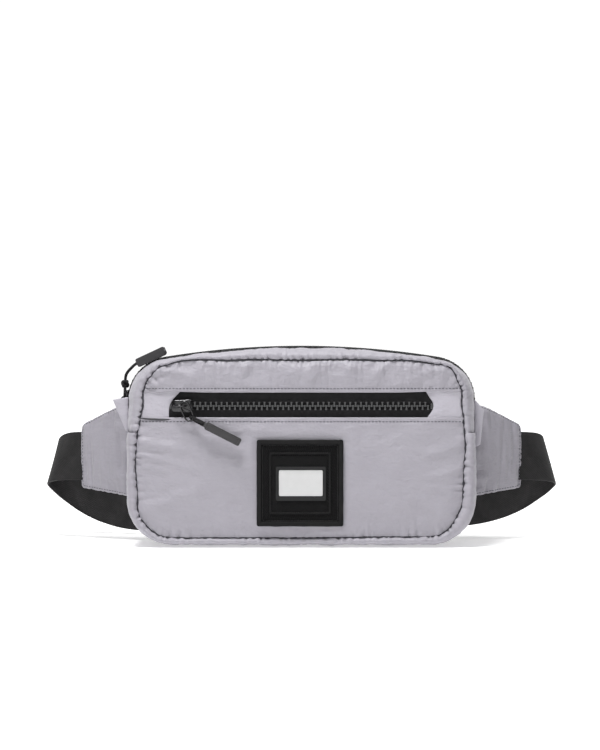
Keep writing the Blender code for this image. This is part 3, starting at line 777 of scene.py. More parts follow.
SEAM_DRIFT = [
    # where round the pouch's middle, in degrees, and how far the seam lies inside its even line, in mm
    (-180, -1.6), (-174, -2.2), (-164, -0.6), (-155, -2.1), (-142, -4.0), (-90, -4.0), (-38, -3.2),
    (-24, 2.0), (-11, 0.8), (0, -0.8), (8, 0.6), (14, 2.2), (22, 0.5), (30, -4.6), (38, -4.2),
    (55, -0.9), (90, 1.0), (125, -0.9), (143, -5.0), (148, -3.4), (154, 0.6), (160, 2.6), (166, 3.8),
    (172, 1.2), (176, -0.5), (180, -1.6),
]


def seam_drift(x, z):
    """How far the front seam lies inside its even line, beside a place on the front."""
    _, ex, ez = edge_of(x, z)
    angle = math.degrees(math.atan2(ez - MIDDLE_Z, ex))
    for (a, low), (b, high) in zip(SEAM_DRIFT, SEAM_DRIFT[1:]):
        if a <= angle <= b:
            t = (angle - a) / (b - a)
            return (low + (high - low) * t * t * (3 - 2 * t)) / 1000
    return 0.0


def fit_seam(obj):
    """Moves the front of a piece with the seam's uneven line; the outline and the middle stay."""
    for v in obj.data.vertices:
        x, y, z = v.co
        near = min(max((-0.0250 - y) / 0.0070, 0), 1)
        inset, ex, ez = edge_of(x, z)
        if near == 0 or inset <= 0.00001 or inset > 0.0300:
            continue
        weight = inset / SEAM_INSET if inset < SEAM_INSET else (0.0300 - inset) / (0.0300 - SEAM_INSET)
        drift = seam_drift(x, z) * weight * near
        inward = (Vector((x, z)) - Vector((ex, ez))) / inset
        v.co.x += inward.x * drift
        v.co.z += inward.y * drift


def front_limit(x, z):
    """How far forward the front cloth may come: it lies flat under the patch."""
    out = max(abs(x + 0.001), abs(z - 0.0465)) - 0.0325
    return -0.03565 - 0.0020 * min(max(out / 0.014, 0), 1)


def place_front(x, z, low=None, high=None):
    """Depth of the front cloth before its wrinkles: held at its seams and at its fold, low or high."""
    inside = max(edge_of(x, z)[0] - SEAM_INSET, 0)
    rise = 1 - math.exp(-inside / 0.006)
    hold = 1.0
    if high is not None:
        hold = min(max((high - z) / 0.020, 0.25), 1)
    if low is not None:
        hold = min(max((z - low) / 0.020, 0.25), 1)
    return FRONT_SEAM_Y - 0.0021 * rise - 0.0004 * rise * hold


def along_seam(x, z):
    """Where along the seam a place on the front is, as one number."""
    _, ex, ez = edge_of(x, z)
    return math.atan2(ez - MIDDLE_Z, ex) * 0.13


def wrinkle_front(obj, seed):
    """Gathers beside the seam, soft folds and small crumples, within the limit of the patch."""
    for v in obj.data.vertices:
        x, y, z = v.co
        inside = edge_of(x, z)[0] - SEAM_INSET
        rise = min(max(inside / 0.004, 0), 1)
        gather = gathers(along_seam(x, z), inside, seed, 0.0012)
        small = 0.00055 * ripple((x * 0.7, 0, z * 1.5), 120, seed + 2) * rise
        broad = 0.00095 * ripple((x * 0.8, 0, z), 42, seed + 4) * rise
        valley = sum(0.00035 * math.exp(-((z - line) / 0.0009) ** 2) for line in STITCH_LINES)
        v.co.y = y - (gather + small + broad - valley + folds(x, z) * 1.9 * rise)
        v.co.y = max(v.co.y, front_limit(x, z))


def pin_borders(rows, extra=()):
    """A full pin for each of a grid's border points and for any extra ones."""
    cols = len(rows[0])
    pinned = {}
    for i in range(len(rows)):
        for k in range(cols):
            if i in (0, len(rows) - 1) or k in (0, cols - 1):
                pinned[i * cols + k] = 1.0
    for index in extra:
        pinned[index] = 1.0
    return pinned


def fold_under(rows, at="last"):
    """Adds rows to a grid, so that its last (or first) edge turns back inside in a small roll."""
    edge = rows[-1] if at == "last" else rows[0]
    sign = 1 if at == "last" else -1
    turned = []
    for a in (35, 80, 125, 170):
        r = math.radians(a)
        step = Vector((0, FOLD_RADIUS * (1 - math.cos(r)), sign * FOLD_RADIUS * math.sin(r)))
        turned.append([p + step for p in edge])
    turned.append([p + Vector((0, FOLD_RADIUS * 2 + 0.0003, -sign * 0.0045)) for p in edge])
    return rows + turned if at == "last" else turned[::-1] + rows


def finish_front(obj, pinned, cap, seed, node):
    """Puffs, wrinkles and lines a part of the front."""
    puff(obj, pinned, 14.0, cap, 0.018)
    refine(obj)
    wrinkle_front(obj, seed)
    fit_seam(obj)
    thicken(obj, 0.0009, -1, 0, LINING)
    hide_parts(node)


def front_lower_cloth():
    """The front below the zip's band, with its head folded under."""
    side = HALF_WIDTH - SEAM_INSET
    radius = BOTTOM_CORNER_R - SEAM_INSET
    left_arc = arc(-BOTTOM_CORNER_X, BOTTOM_CORNER_R, radius, 180, 225, 12)
    right_arc = arc(BOTTOM_CORNER_X, BOTTOM_CORNER_R, radius, 315, 360, 12)
    low_arc = (arc(-BOTTOM_CORNER_X, BOTTOM_CORNER_R, radius, 225, 270, 12)
               + arc(BOTTOM_CORNER_X, BOTTOM_CORNER_R, radius, 270, 315, 12))
    bottom = spread(standing(low_arc), FRONT_COLUMNS)
    top = spread(standing([(-side, FOLD_LOW), (side, FOLD_LOW)]), FRONT_COLUMNS)
    left = spread(standing([(-side, FOLD_LOW)] + left_arc)[::-1], 40)
    right = spread(standing(right_arc + [(side, FOLD_LOW)]), 40)
    rows = coons(bottom, top, left, right)
    for row in rows:
        for p in row:
            p.y = place_front(p.x, p.z, high=FOLD_LOW)
    rows[-1] = [Vector((p.x, min(p.y, FRONT_SEAM_Y - 0.0012), p.z)) for p in rows[-1]]
    cols = len(rows[0])
    obj = sheet_mesh("front_lower_cloth", fold_under(rows), SHELL)
    folded = range(len(rows) * cols, (len(rows) + 5) * cols)
    finish_front(obj, pin_borders(rows, folded), 0.0010, 1.0, "front_panel_lower")
    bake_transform(obj)
    return obj


def front_upper_cloth():
    """The front above the zip's band, with its foot folded under."""
    radius = TOP_CORNER_R - SEAM_INSET
    turn = top_turn()
    low = math.degrees(math.asin((FOLD_HIGH - TOP_CORNER_Z) / radius))
    left_arc = standing(arc(-TOP_CORNER_X, TOP_CORNER_Z, radius, 180 - low, 140, 12))
    right_arc = standing(arc(TOP_CORNER_X, TOP_CORNER_Z, radius, low, 40, 12))
    top_line = standing(arc(-TOP_CORNER_X, TOP_CORNER_Z, radius, 140, 180 - turn, 10)
                        + arc(0, HEIGHT - TOP_ARC_R, TOP_ARC_R - SEAM_INSET, 180 - turn, turn, 40)
                        + arc(TOP_CORNER_X, TOP_CORNER_Z, radius, turn, 40, 10))
    bottom = spread([left_arc[0], right_arc[0]], FRONT_COLUMNS)
    rows = coons(bottom, spread(top_line, FRONT_COLUMNS), spread(left_arc, 14), spread(right_arc, 14))
    for row in rows:
        for p in row:
            p.y = place_front(p.x, p.z, low=FOLD_HIGH)
    rows = fold_under(rows, at="first")
    obj = sheet_mesh("front_upper_cloth", rows, SHELL)
    folded = range(6 * len(rows[0]))
    finish_front(obj, pin_borders(rows, folded), 0.0012, 2.0, "front_panel_upper")
    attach(obj, "front_flap")
    return obj


def band_end(word, edge):
    """The plain piece between the zip's end and the side seam; edge gives its inner end for a height."""
    side = -1 if word == "left" else 1
    seam = side * (HALF_WIDTH - SEAM_INSET)
    rows = []
    for j in range(15):
        z = FOLD_LOW - 0.0030 + (FOLD_HIGH - FOLD_LOW + 0.0060) * j / 14
        row = []
        end = edge(z)
        for i in range(13):
            t = i / 12
            x = seam + (end - seam) * t
            y = BAND_Y + 0.0006 * (1 - t) ** 4 - 0.0005 * math.sin(math.pi * t)
            row.append(Vector((x, y, z)))
        for a in (50, 110, 170):
            r = math.radians(a)
            row.append(Vector((end - side * 0.0005 * math.sin(r), BAND_Y + 0.0005 * (1 - math.cos(r)), z)))
        row.append(Vector((end + side * 0.0040, BAND_Y + 0.0012, z)))
        rows.append(row)
    # The end piece takes the lighter copy of the shell nylon: painted light.
    obj = sheet_mesh(f"front_band_{word}", rows, PAINTED_LIGHT_BAND_SHELL)
    for v in obj.data.vertices:
        if abs(v.co.x) < HALF_WIDTH - SEAM_INSET - 0.002:
            v.co.y -= 0.00035 * ripple((v.co.x, 0, v.co.z * 1.6), 110, 7.0)
    if obj.data.polygons[40].normal.y > 0:
        obj.data.flip_normals()
    fit_seam(obj)
    thicken(obj, 0.0007, -1, 1, LINING)
    return settle(obj, "front_flap", "shell_fabric", "front_panel_upper")


def fold_painted_shadow():
    """A dark lining tube where the lower fold sags away from the left end piece: painted shadow of the gap
    behind the fold.
    """
    def radius(t):
        return 0.00035 + 0.0005 * math.sin(math.pi * t)

    points = []
    for i in range(25):
        t = i / 24
        x = -0.1213 + 0.0330 * t
        z = FOLD_LOW + 0.0003 - 0.0013 * math.sin(math.pi * t)
        points.append(Vector((x, BAND_Y - 0.0011, z)))
    obj = swept("fold_painted_shadow_left", tube_rings(points, radius, 8), LINING)
    return settle(obj, "front_flap", "lining_fabric")


def left_band_edge(z):
    """Upright at its foot, and curving toward the zip at its head."""
    up = min(max((z - 0.0990) / (FOLD_HIGH - 0.0990), 0), 1)
    return WINDOW_LEFT - 0.0008 + 0.0095 * up ** 2.4


def right_band_edge(z):
    """A shallow point in the middle of the band."""
    away = max(abs(z - POCKET_Z) - 0.0022, 0)
    return WINDOW_RIGHT - 0.0007 * away / 0.001


def ride_side(obj, moves):
    """Rides the pouch, or, where the front opens, keeps its place in the world with no body."""
    if moves:
        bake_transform(obj)
    else:
        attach(obj, "root")


def gusset_strip(name, outline, section, moves, seed, depths, tucks, node):
    """Cloth swept along the pouch's edge. The section lists (inset, depth) in mm from front to rear.

    depths are how deep its gathers are at its front and rear edge, tucks how much of each edge a seam hides.
    """
    rim = even_rim(outline)
    flat = smooth_route([Vector((inset / 1000, y / 1000, 0)) for inset, y in section], 6)
    length = sum((b - a).length for a, b in zip(flat, flat[1:]))
    count = max(round(length / 0.0020), 6)
    profile = spread(flat, count)
    rows = [[p + inward * q.x + Vector((0, q.y, 0)) for q in profile] for p, inward in rim]
    obj = sheet_mesh(name, rows, SHELL)
    half = len(rim) // 2
    middle = obj.data.polygons[half * count + count // 2]
    outward = -rim[half][1]
    if middle.normal.dot(outward) < 0:
        obj.data.flip_normals()
    puff(obj, pin_borders(rows), 10.0, 0.0010, 0.03)
    refine(obj)
    places = sheet_places(obj)
    total = max(place.y for place in places)

    def amount(index, point):
        across, s = places[index]
        from_front = max(across - tucks[0], 0)
        from_rear = max(length - across - tucks[1], 0)
        front = gathers(s, from_front, seed, depths[0])
        rear = gathers(s + 1, from_rear, seed + 3, depths[1])
        held = min(from_front, from_rear, 0.006) / 0.006
        where = Vector((s, across * 0.8, 0))
        end = min(s, total - s)
        pinch = -0.0007 * math.exp(-(end / 0.0022) ** 2)
        soft = (0.0009 * ripple(where, 70, seed + 6) + 0.0005 * ripple(where * 1.3, 150, seed + 8)) * held
        return front + rear + soft + pinch

    displace(obj, amount)
    fit_seam(obj)
    thicken(obj, 0.0013, -1, 0, LINING)
    ride_side(obj, moves)
    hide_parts(node)
    return obj


# Sections of the side strips, as (inset, depth) in mm, and how much of an edge the seam hides
SEAM_TUCK = 0.0032
FRONT_ROLL = [(9.9, -29.5), (9.3, -32.6), (8.0, -35.2), (5.6, -36.6), (2.8, -35.4), (0.8, -31.5)]
REAR_ROLL = [(0.9, 31.0), (2.6, 34.4), (5.0, 36.2), (7.4, 35.8), (9.0, 34.0), (9.6, 31.0)]
SIDE_MIDDLE = [(0.2, -26.0), (0.0, -14.0), (0.0, 0.0), (0.0, 14.0), (0.2, 26.0)]
UPPER_FRONT = [(9.9, -29.5), (9.3, -32.6), (8.2, -34.8), (6.2, -35.1), (4.2, -32.9), (2.6, -28.4),
               (1.5, -22.0), (1.0, -15.5), (1.2, -8.2)]
UPPER_REAR = [(1.2, 8.2), (1.1, 16.0), (1.3, 24.0), (2.2, 31.0), (3.8, 34.6), (5.6, 36.2),
              (7.4, 35.8), (9.0, 34.0), (9.6, 31.0)]


def pouch_sides():
    """The strip round the pouch's foot and sides, and the two strips beside the main zip."""
    around, over = lower_outline(0, 0.0008), upper_outline(0, 0.0008)
    section = FRONT_ROLL + SIDE_MIDDLE + REAR_ROLL
    gusset_strip("side_cloth_lower", around, section, False, 11.0,
                 (0.0015, 0.0012), (SEAM_TUCK, SEAM_TUCK), "lower_gusset")
    gusset_strip("side_cloth_upper_front", over, UPPER_FRONT, True, 21.0,
                 (0.0013, 0.0002), (SEAM_TUCK, 0), "upper_gusset_front")
    gusset_strip("side_cloth_upper_rear", over, UPPER_REAR, False, 31.0,
                 (0.0002, 0.0012), (0, SEAM_TUCK), "upper_gusset_rear")


def back_cloth():
    """The padded back: one panel, gathered a little at its seams."""
    radius = BOTTOM_CORNER_R - REAR_INSET
    high = TOP_CORNER_R - REAR_INSET
    turn = top_turn()
    bottom = spread(standing(arc(-BOTTOM_CORNER_X, BOTTOM_CORNER_R, radius, 225, 270, 10)
                         + arc(BOTTOM_CORNER_X, BOTTOM_CORNER_R, radius, 270, 315, 10)), 90)
    top = spread(standing(arc(-TOP_CORNER_X, TOP_CORNER_Z, high, 135, 180 - turn, 8)
                      + arc(0, HEIGHT - TOP_ARC_R, TOP_ARC_R - REAR_INSET, 180 - turn, turn, 30)
                      + arc(TOP_CORNER_X, TOP_CORNER_Z, high, turn, 45, 8)), 90)
    left = spread(standing(arc(-BOTTOM_CORNER_X, BOTTOM_CORNER_R, radius, 225, 180, 10)
                       + arc(-TOP_CORNER_X, TOP_CORNER_Z, high, 180, 135, 10)), 48)
    right = spread(standing(arc(BOTTOM_CORNER_X, BOTTOM_CORNER_R, radius, 315, 360, 10)
                        + arc(TOP_CORNER_X, TOP_CORNER_Z, high, 0, 45, 10)), 48)
    rows = coons(bottom, top, left, right)
    for row in rows:
        for p in row:
            inside = max(edge_of(p.x, p.z)[0] - REAR_INSET, 0)
            p.y = REAR_SEAM_Y + 0.0016 * (1 - math.exp(-inside / 0.005))
    obj = sheet_mesh("back_cloth", rows, SHELL)
    if obj.data.polygons[900].normal.y < 0:
        obj.data.flip_normals()
    puff(obj, pin_borders(rows), 10.0, 0.0010, 0.015)
    refine(obj)
    for v in obj.data.vertices:
        x, y, z = v.co
        inside = edge_of(x, z)[0] - REAR_INSET
        rise = min(max(inside / 0.004, 0), 1)
        soft = 0.0005 * ripple((x, 0, z), 45, 46.0) * rise
        v.co.y = min(y + gathers(along_seam(x, z), inside, 44.0, 0.0004) + soft, 0.0385)
    thicken(obj, 0.0009, -1, 0, LINING)
    settle(obj, "root", "shell_fabric", "back_panel")
    return obj


def seam_thread_and_shade_tube(name, outline, inset, y, moves=False):
    """The drawn-in thread line where two cloths meet: a dark tube, partly the seam's thread and partly
    painted shade of the groove between the cloths.
    """
    points = []
    for i, (p, inward) in enumerate(even_rim(outline, 0.0016)):
        s = i * 0.0016
        wander = 0.00030 * ripple((s, 0, 0), 260, 3.0) + 0.00035 * ripple((s, 0, 0), 70, 4.0)
        points.append(p + inward * (inset + wander) + Vector((0, y, 0)))

    def radius(t):
        return 0.00058 * (1 + 0.75 * ripple((t * len(points) * 0.0016, 0, 0), 330, 5.0))

    obj = swept(name, tube_rings(points, radius, 6), SEAM_THREAD_AND_PAINTED_SHADE)
    fit_seam(obj)
    ride_side(obj, moves)
    return obj


def seam_lines():
    """The thread lines of the front and rear seams: dark tubes that are partly thread and partly painted
    shade of the seams' grooves.
    """
    front, rear = FRONT_SEAM_Y - 0.0003, REAR_SEAM_Y + 0.0002
    seam_thread_and_shade_tube("seam_line_front_lower", lower_outline(0), SEAM_INSET, front)
    seam_thread_and_shade_tube("seam_line_front_upper", upper_outline(0), SEAM_INSET, front, moves=True)
    seam_thread_and_shade_tube("seam_line_rear_lower", lower_outline(0), REAR_INSET, rear)
    seam_thread_and_shade_tube("seam_line_rear_upper", upper_outline(0), REAR_INSET, rear)


def surface_depth(obj, x, z, default):
    """Front depth of a piece at (x, z)."""
    hit, place, _, _ = obj.ray_cast(Vector((x, -0.2, z)), Vector((0, 1, 0)))
    return place.y if hit else default


def topstitch(name, obj, z, body, seed):
    """A row of stitches across the front, a little under the folded edge."""
    route = []
    for i in range(241):
        x = -0.1195 + 0.239 * i / 240
        wander = 0.00015 * ripple((x, 0, 0), 90, seed)
        route.append(Vector((x, surface_depth(obj, x, z + wander, BAND_Y - 0.001) + 0.00005, z + wander)))
    row = stitches(name, route, (0, -1, 0), 0.0026, 0.0015, 0.00030, GREY_THREAD)
    return settle(row, body, "shell_fabric")


# Zips

def tooth_mesh(name, places, width, height, depth):
    """Many teeth in one mesh. Each place gives (middle, across, outward): across points at the other row."""
    work = bmesh.new()
    profile = [(-height * 0.5, width * 0.42), (-height * 0.12, width * 0.30), (height * 0.18, width * 0.30),
               (height * 0.32, width * 0.5), (height * 0.44, width * 0.46), (height * 0.5, width * 0.30)]
    loop = profile + [(a, -w) for a, w in reversed(profile)]
    for middle, across, outward in places:
        along = across.cross(outward)
        rings = []
        for lift, size in ((-0.5, 0.86), (-0.32, 1.0), (0.30, 1.0), (0.5, 0.80)):
            rings.append([middle + across * a * (0.5 + 0.5 * size) + along * w * size + outward * depth * lift
                          for a, w in loop])
        skin(work, rings)
    bmesh.ops.recalc_face_normals(work, faces=work.faces)
    obj = finished(name, work, TOOTH_PLASTIC)
    obj.data.set_sharp_from_angle(angle=math.radians(55))
    return obj


# Round the upper left corner: radius of the main zip's crown, and where its slider and its pull's bar are
TEETH_TOP_R = TOP_CORNER_R - 0.00005
SLIDER_ANGLE = 178
BAR_ANGLE = 115

# Pitch, height out of the tape and reach across it of the zips' teeth
TOOTH_STEP = 0.0040
TOOTH_DEPTH = 0.0024
TOOTH_REACH = 0.0042


def front_teeth(word, side):
    """A row of the front zip's teeth; side is 1 for the upper row and -1 for the lower one."""
    places = []
    left = WINDOW_LEFT + 0.0030
    count = int((WINDOW_RIGHT - 0.0030 - left) / TOOTH_STEP)
    shift = 0 if side > 0 else TOOTH_STEP / 2
    for i in range(count + 1):
        x = left + shift + i * TOOTH_STEP
        if x < WINDOW_RIGHT - 0.0025:
            middle = Vector((x, -0.0327, POCKET_Z + side * (TOOTH_REACH / 2 - 0.0009)))
            places.append((middle, Vector((0, 0, -side)), Vector((0, -1, 0))))
    obj = tooth_mesh(f"front_teeth_{word}", places, 0.0024, TOOTH_REACH, TOOTH_DEPTH)
    return settle(obj, "front_flap", "zip_teeth", f"front_zip_teeth_{word}")


def front_tape(word, side):
    """Woven tape of the front zip, with the cord that the teeth grip along its edge."""
    rows = []
    for i in range(101):
        x = WINDOW_LEFT - 0.0020 + (WINDOW_RIGHT - WINDOW_LEFT + 0.0040) * i / 100
        row = []
        for d in (0.0012, 0.0022, 0.0030, 0.0036, 0.0042, 0.0060, 0.0090, 0.0120):
            bead = 0.0003 * math.exp(-((d - 0.0036) / 0.0006) ** 2)
            wave = 0.00016 * ripple((x, 0, d + side), 60, 8.0)
            row.append(Vector((x, -0.0326 - bead + wave, POCKET_Z + side * d)))
        rows.append(row)
    obj = sheet_mesh(f"front_tape_{word}", rows, TAPE)
    face_front(obj)
    thicken(obj, 0.0006, -1, 0)
    return settle(obj, "front_flap", "zip_tape", f"front_zip_tape_{word}")


def main_chain(word, side, moves):
    """A row of the main zip's teeth and its tape; side is -1 for the front row and 1 for the rear one."""
    rim = even_rim(upper_outline(-0.0002), TOOTH_STEP / 2)
    places = []
    for i in range(1, len(rim) - 1):
        if i % 2 == (0 if side > 0 else 1):
            p, inward = rim[i]
            places.append((p + Vector((0, side * 0.0013, 0)), Vector((0, -side, 0)), -inward))
    teeth = tooth_mesh(f"main_teeth_{word}", places, 0.0022, TOOTH_REACH, 0.0023)
    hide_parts(f"main_zip_teeth_{word}")
    rows = []
    for p, inward in even_rim(upper_outline(0), 0.0030):
        row = []
        for d in (2.2, 2.8, 3.4, 4.6, 6.0, 7.5, 9.0, 10.5, 12.0):
            sunk = 0.0016 - 0.0016 * math.exp(-((d - 2.2) / 2.2) ** 2)
            wavy = 0.0003 * ripple((p.x, p.z, d), 70, 9.0)
            row.append(p + inward * (sunk + wavy) + Vector((0, side * d / 1000, 0)))
        rows.append(row)
    tape = sheet_mesh(f"main_tape_{word}", rows, TAPE)
    thicken(tape, 0.0007, 0, 0)
    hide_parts(f"main_zip_tape_{word}")
    for obj in (teeth, tape):
        ride_side(obj, moves)


def smooth_node(name, material, bevel=0.0, segments=2, levels=0):
    """Finishes a CAD node: rounded edges or a smoother surface, and its material."""
    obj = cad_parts[name]
    obj.data.materials.clear()
    obj.data.materials.append(material)
    weld = obj.modifiers.new("weld", "WELD")
    weld.merge_threshold = 0.00001
    if bevel:
        edges = obj.modifiers.new("edges", "BEVEL")
        edges.width = bevel
        edges.segments = segments
        edges.limit_method = "ANGLE"
        edges.angle_limit = math.radians(35)
    if levels:
        fine = obj.modifiers.new("fine", "SUBSURF")
        fine.levels = levels
        fine.render_levels = levels
        obj.data.shade_smooth()
    return obj


def slider_plate(place, length, half_width, low, high, crown):
    """A rounded, slightly waisted plate of a slider, with a crowned top."""
    rings = []
    for i in range(21):
        t = i / 20
        end = max(1 - (2 * t - 1) ** 6, 0.0) ** 0.5
        wide = half_width * (0.84 + 0.16 * t - 0.10 * math.sin(math.pi * t)) * (0.35 + 0.65 * end)
        thick = (high - low + crown * math.sin(math.pi * t)) * (0.45 + 0.55 * end)
        ring = []
        for k in range(20):
            a = 2 * math.pi * k / 20
            c, s = math.cos(a), math.sin(a)
            ring.append(place @ Vector((length * (t - 0.5), wide * math.copysign(abs(c) ** 0.65, c),
                                        low + thick / 2 + thick / 2 * math.copysign(abs(s) ** 0.65, s))))
        rings.append(ring)
    return swept("plate", rings, METAL)


def slider(node, place, length, half_width, top, bridge):
    """A zip slider: its two plates, the web between them, two nose ribs and an arched bridge."""
    def local(x, y, z):
        return place @ Vector((x, y, z))

    half = length / 2
    cap = slider_plate(place, length, half_width, 0.0003, top, 0.0003)
    foot = slider_plate(place, length, half_width - 0.0004, -0.0037, -0.0025, 0.0)
    section = ((-0.0003, -0.0028), (0.0003, -0.0028), (0.0003, 0.0008), (-0.0003, 0.0008))
    web = swept("web", [[local(x, y, z) for y, z in section] for x in (-half + 0.0015, half - 0.0015)], METAL)
    start, end = -half + 0.0022, half - 0.0052
    arch = []
    for i in range(13):
        t = i / 12
        lift = math.sin(math.pi * t) ** 0.45
        arch.append(local(start + (end - start) * t, 0, top - 0.0004 + (bridge + 0.0010 - top) * lift))
    bow = swept("bow", tube_rings(arch, 0.00085, 8, 1.5), METAL)
    ribs = []
    for side in (-1, 1):
        route = []
        for i in range(6):
            x, y = half * (0.15 + 0.75 * i / 5), side * half_width * (0.30 + 0.10 * i)
            route.append(local(x, y, top + 0.0002 - 0.00006 * i))
        ribs.append(swept("rib", tube_rings(route, 0.0005, 6), METAL))
    obj = join(f"{node}_body", [cap, foot, web, bow, *ribs])
    return settle(obj, node, "slider_metal", node)


def front_zip():
    """Teeth, tapes, end stops and slider of the pocket's zip."""
    for word, side in (("upper", 1), ("lower", -1)):
        front_teeth(word, side)
        front_tape(word, side)
    smooth_node("front_zip_stop_left", TOOTH_PLASTIC, 0.0004)
    smooth_node("front_zip_stop_right", TOOTH_PLASTIC, 0.0004)
    place = Matrix.Translation((-0.0890, -0.0333, POCKET_Z)) @ Matrix.Rotation(math.pi / 2, 4, "X")
    slider("front_slider", place, 0.0164, 0.0056, 0.0025, 0.0075)


def corner_point(radius, degrees, y=0.0):
    """A point round the centre of the pouch's upper left corner."""
    a = math.radians(degrees)
    return Vector((-TOP_CORNER_X + radius * math.cos(a), y, TOP_CORNER_Z + radius * math.sin(a)))


def main_zip():
    """Teeth, tapes and slider of the zip along the top."""
    main_chain("front", -1, True)
    main_chain("rear", 1, False)
    turn = Matrix.Rotation(math.radians(90 - SLIDER_ANGLE), 4, "Y")
    place = Matrix.Translation(corner_point(TEETH_TOP_R, SLIDER_ANGLE)) @ turn
    slider("main_slider", place, 0.0134, 0.0058, 0.0026, 0.0055)


# Pulls

def cord_tube(name, route, radius):
    """A braided cord: a tube with UVs in metres and slightly raised strands."""
    points = smooth_route(route, 8)
    rings = tube_rings(points, radius, 14)
    rows = [ring + [ring[0]] for ring in rings]
    obj = sheet_mesh(name, rows, BRAID)
    work = bmesh.new()
    work.from_mesh(obj.data)
    bmesh.ops.remove_doubles(work, verts=work.verts, dist=radius * 0.02)
    ends = [e for e in work.edges if e.is_boundary]
    bmesh.ops.holes_fill(work, edges=ends, sides=0)
    bmesh.ops.recalc_face_normals(work, faces=work.faces)
    work.to_mesh(obj.data)
    work.free()
    for i, v in enumerate(obj.data.vertices):
        v.co += v.normal * radius * 0.07 * math.sin(i * 2.4)
    obj.data.shade_smooth()
    return obj


def pull_cord(name, route, radius, body, node):
    """A cord of a pull, which rides a body and stands for a CAD node."""
    obj = cord_tube(name, route, radius)
    return settle(obj, body, "pull_cord", node)


def heading(degrees):
    """A direction in the front view, by its angle above level."""
    a = math.radians(degrees)
    return Vector((math.cos(a), 0, math.sin(a)))


FRONT_RING_POST = Vector((-0.0869, -0.0386, POCKET_Z))
FRONT_RING_TILT = -66.5
FRONT_PULL_TILT = -27.0


def front_loop(eye, tab_start, pull, across, outward):
    """Route of the cord that loops through the wire ring and ends in the tab."""
    route = [tab_start - outward * 0.0006 + pull * 0.0010 - across * 0.0008,
             eye + pull * 0.0055 + outward * 0.0008 - across * 0.0010]
    for i in range(7):
        a = math.radians(90 + 180 * i / 6)
        route.append(eye + pull * 0.0024 * math.cos(a) - outward * 0.0024 * math.sin(a)
                     + across * (0.0008 * (i - 3) / 3))
    route += [eye + pull * 0.0055 + outward * 0.0036 + across * 0.0010,
              tab_start + outward * 0.0006 + pull * 0.0010 + across * 0.0008]
    return route


def front_tab_trim(tab_start, pull, across, outward):
    """The raised frame on the tab's face and the collar round the cord at its head."""
    def radius(t):
        return 0.0019 - 0.0003 * abs(2 * t - 1)

    face = tab_start + outward * 0.00185
    corners = [[face + pull * x + across * side * 0.0022 for x in (0.0020, 0.0272)] for side in (-1, 1)]
    sides = corners + [[row[end] for row in corners] for end in (0, 1)]
    lines = [swept("line", tube_rings(spread(ends, 12), 0.00022, 6), PULL_RUBBER) for ends in sides]
    neck = spread([tab_start - pull * 0.0012, tab_start + pull * 0.0012], 4)
    collar = swept("collar", tube_rings(neck, radius, 12, 1.25), PULL_RUBBER)
    detail = join("front_pull_trim", lines + [collar])
    settle(detail, "front_pull", "pull_plastic")


def front_pull():
    """The pocket's wire ring, cord loop and moulded tab."""
    smooth_node("front_ring", METAL, levels=2)
    smooth_node("front_pull_tab", PULL_RUBBER, 0.0006, 3)
    pull = heading(FRONT_PULL_TILT)
    across = Vector((-pull.z, 0, pull.x))
    outward = Vector((0, -1, 0))
    eye = FRONT_RING_POST + heading(FRONT_RING_TILT) * 0.0085 + pull * 0.0033
    tab_start = eye + pull * 0.0105 + outward * 0.0034
    route = front_loop(eye, tab_start, pull, across, outward)
    pull_cord("front_pull_loop", route, 0.00095, "front_pull", "front_pull_cord")
    front_tab_trim(tab_start, pull, across, outward)


def main_loop(eye, knot, up):
    """Route of the cord that passes under the main slider's bridge and back to the knot."""
    side = Vector((0, 0.0028, 0))
    near = Vector((0, 0.0010, 0))
    half = [knot - up * 0.0030 + near, knot - up * 0.0065 + side * 0.9, eye + up * 0.0030 + side,
            eye + side * 0.6]
    other = [knot - up * 0.0030 - near, knot - up * 0.0065 - side * 0.9, eye + up * 0.0030 - side,
             eye - side * 0.6]
    return other + [eye] + half[::-1]


def main_knot(knot, up):
    """Route of the knot's turns."""
    turns = []
    for i in range(41):
        a = 2 * math.pi * i / 40
        r = 0.0016 + 0.0007 * math.cos(3 * a)
        round_point = Vector((r * math.sin(2 * a), r * math.cos(2 * a), 0))
        turns.append(knot + round_point + up * 0.0019 * math.sin(3 * a))
    return turns


def narrowing(t):
    """Radius of the cap on the pull's bar, from its foot to its end."""
    return 0.0036 - 0.0006 * t


def main_pull():
    """The main zip's pull: a loop, a knot, the cord above it and a moulded bar on the cord's end."""
    turn = math.radians(90 - SLIDER_ANGLE)
    up = Vector((math.cos(turn), 0, -math.sin(turn)))
    eye = corner_point(TEETH_TOP_R + 0.0038, SLIDER_ANGLE) - up * 0.0015
    knot = eye + up * 0.0125
    loop = pull_cord("main_pull_loop", main_loop(eye, knot, up), 0.00085, "main_pull", "main_pull_cord")
    tied = pull_cord("main_pull_tie", main_knot(knot, up), 0.00105, "main_pull", "main_pull_knot")
    bar_middle = corner_point(TOP_CORNER_R + 0.0042, BAR_ANGLE, -0.0050)
    along = heading(BAR_ANGLE - 90)
    bar_end = bar_middle - along * 0.0120
    lead = [eye + up * 0.0012, eye + up * 0.0060, knot - up * 0.0020, knot + up * 0.0036,
            knot + up * 0.0080 + Vector((0.0010, -0.0015, 0)),
            bar_end - along * 0.0040 - Vector((0, 0, 0.0012)),
            bar_end - along * 0.0003, bar_end + along * 0.0060]
    strand = pull_cord("main_pull_strand", lead, 0.0011, "main_pull", "main_pull_lead")
    bar = smooth_node("main_pull_bar", PULL_RUBBER, 0.0007, 3)
    ends = spread([bar_middle + along * 0.0112, bar_middle + along * 0.0124], 3)
    cap = swept("main_pull_cap", tube_rings(ends, narrowing, 16, 0.52), PULL_RUBBER)
    settle(cap, "main_pull", "pull_plastic")


# Patch

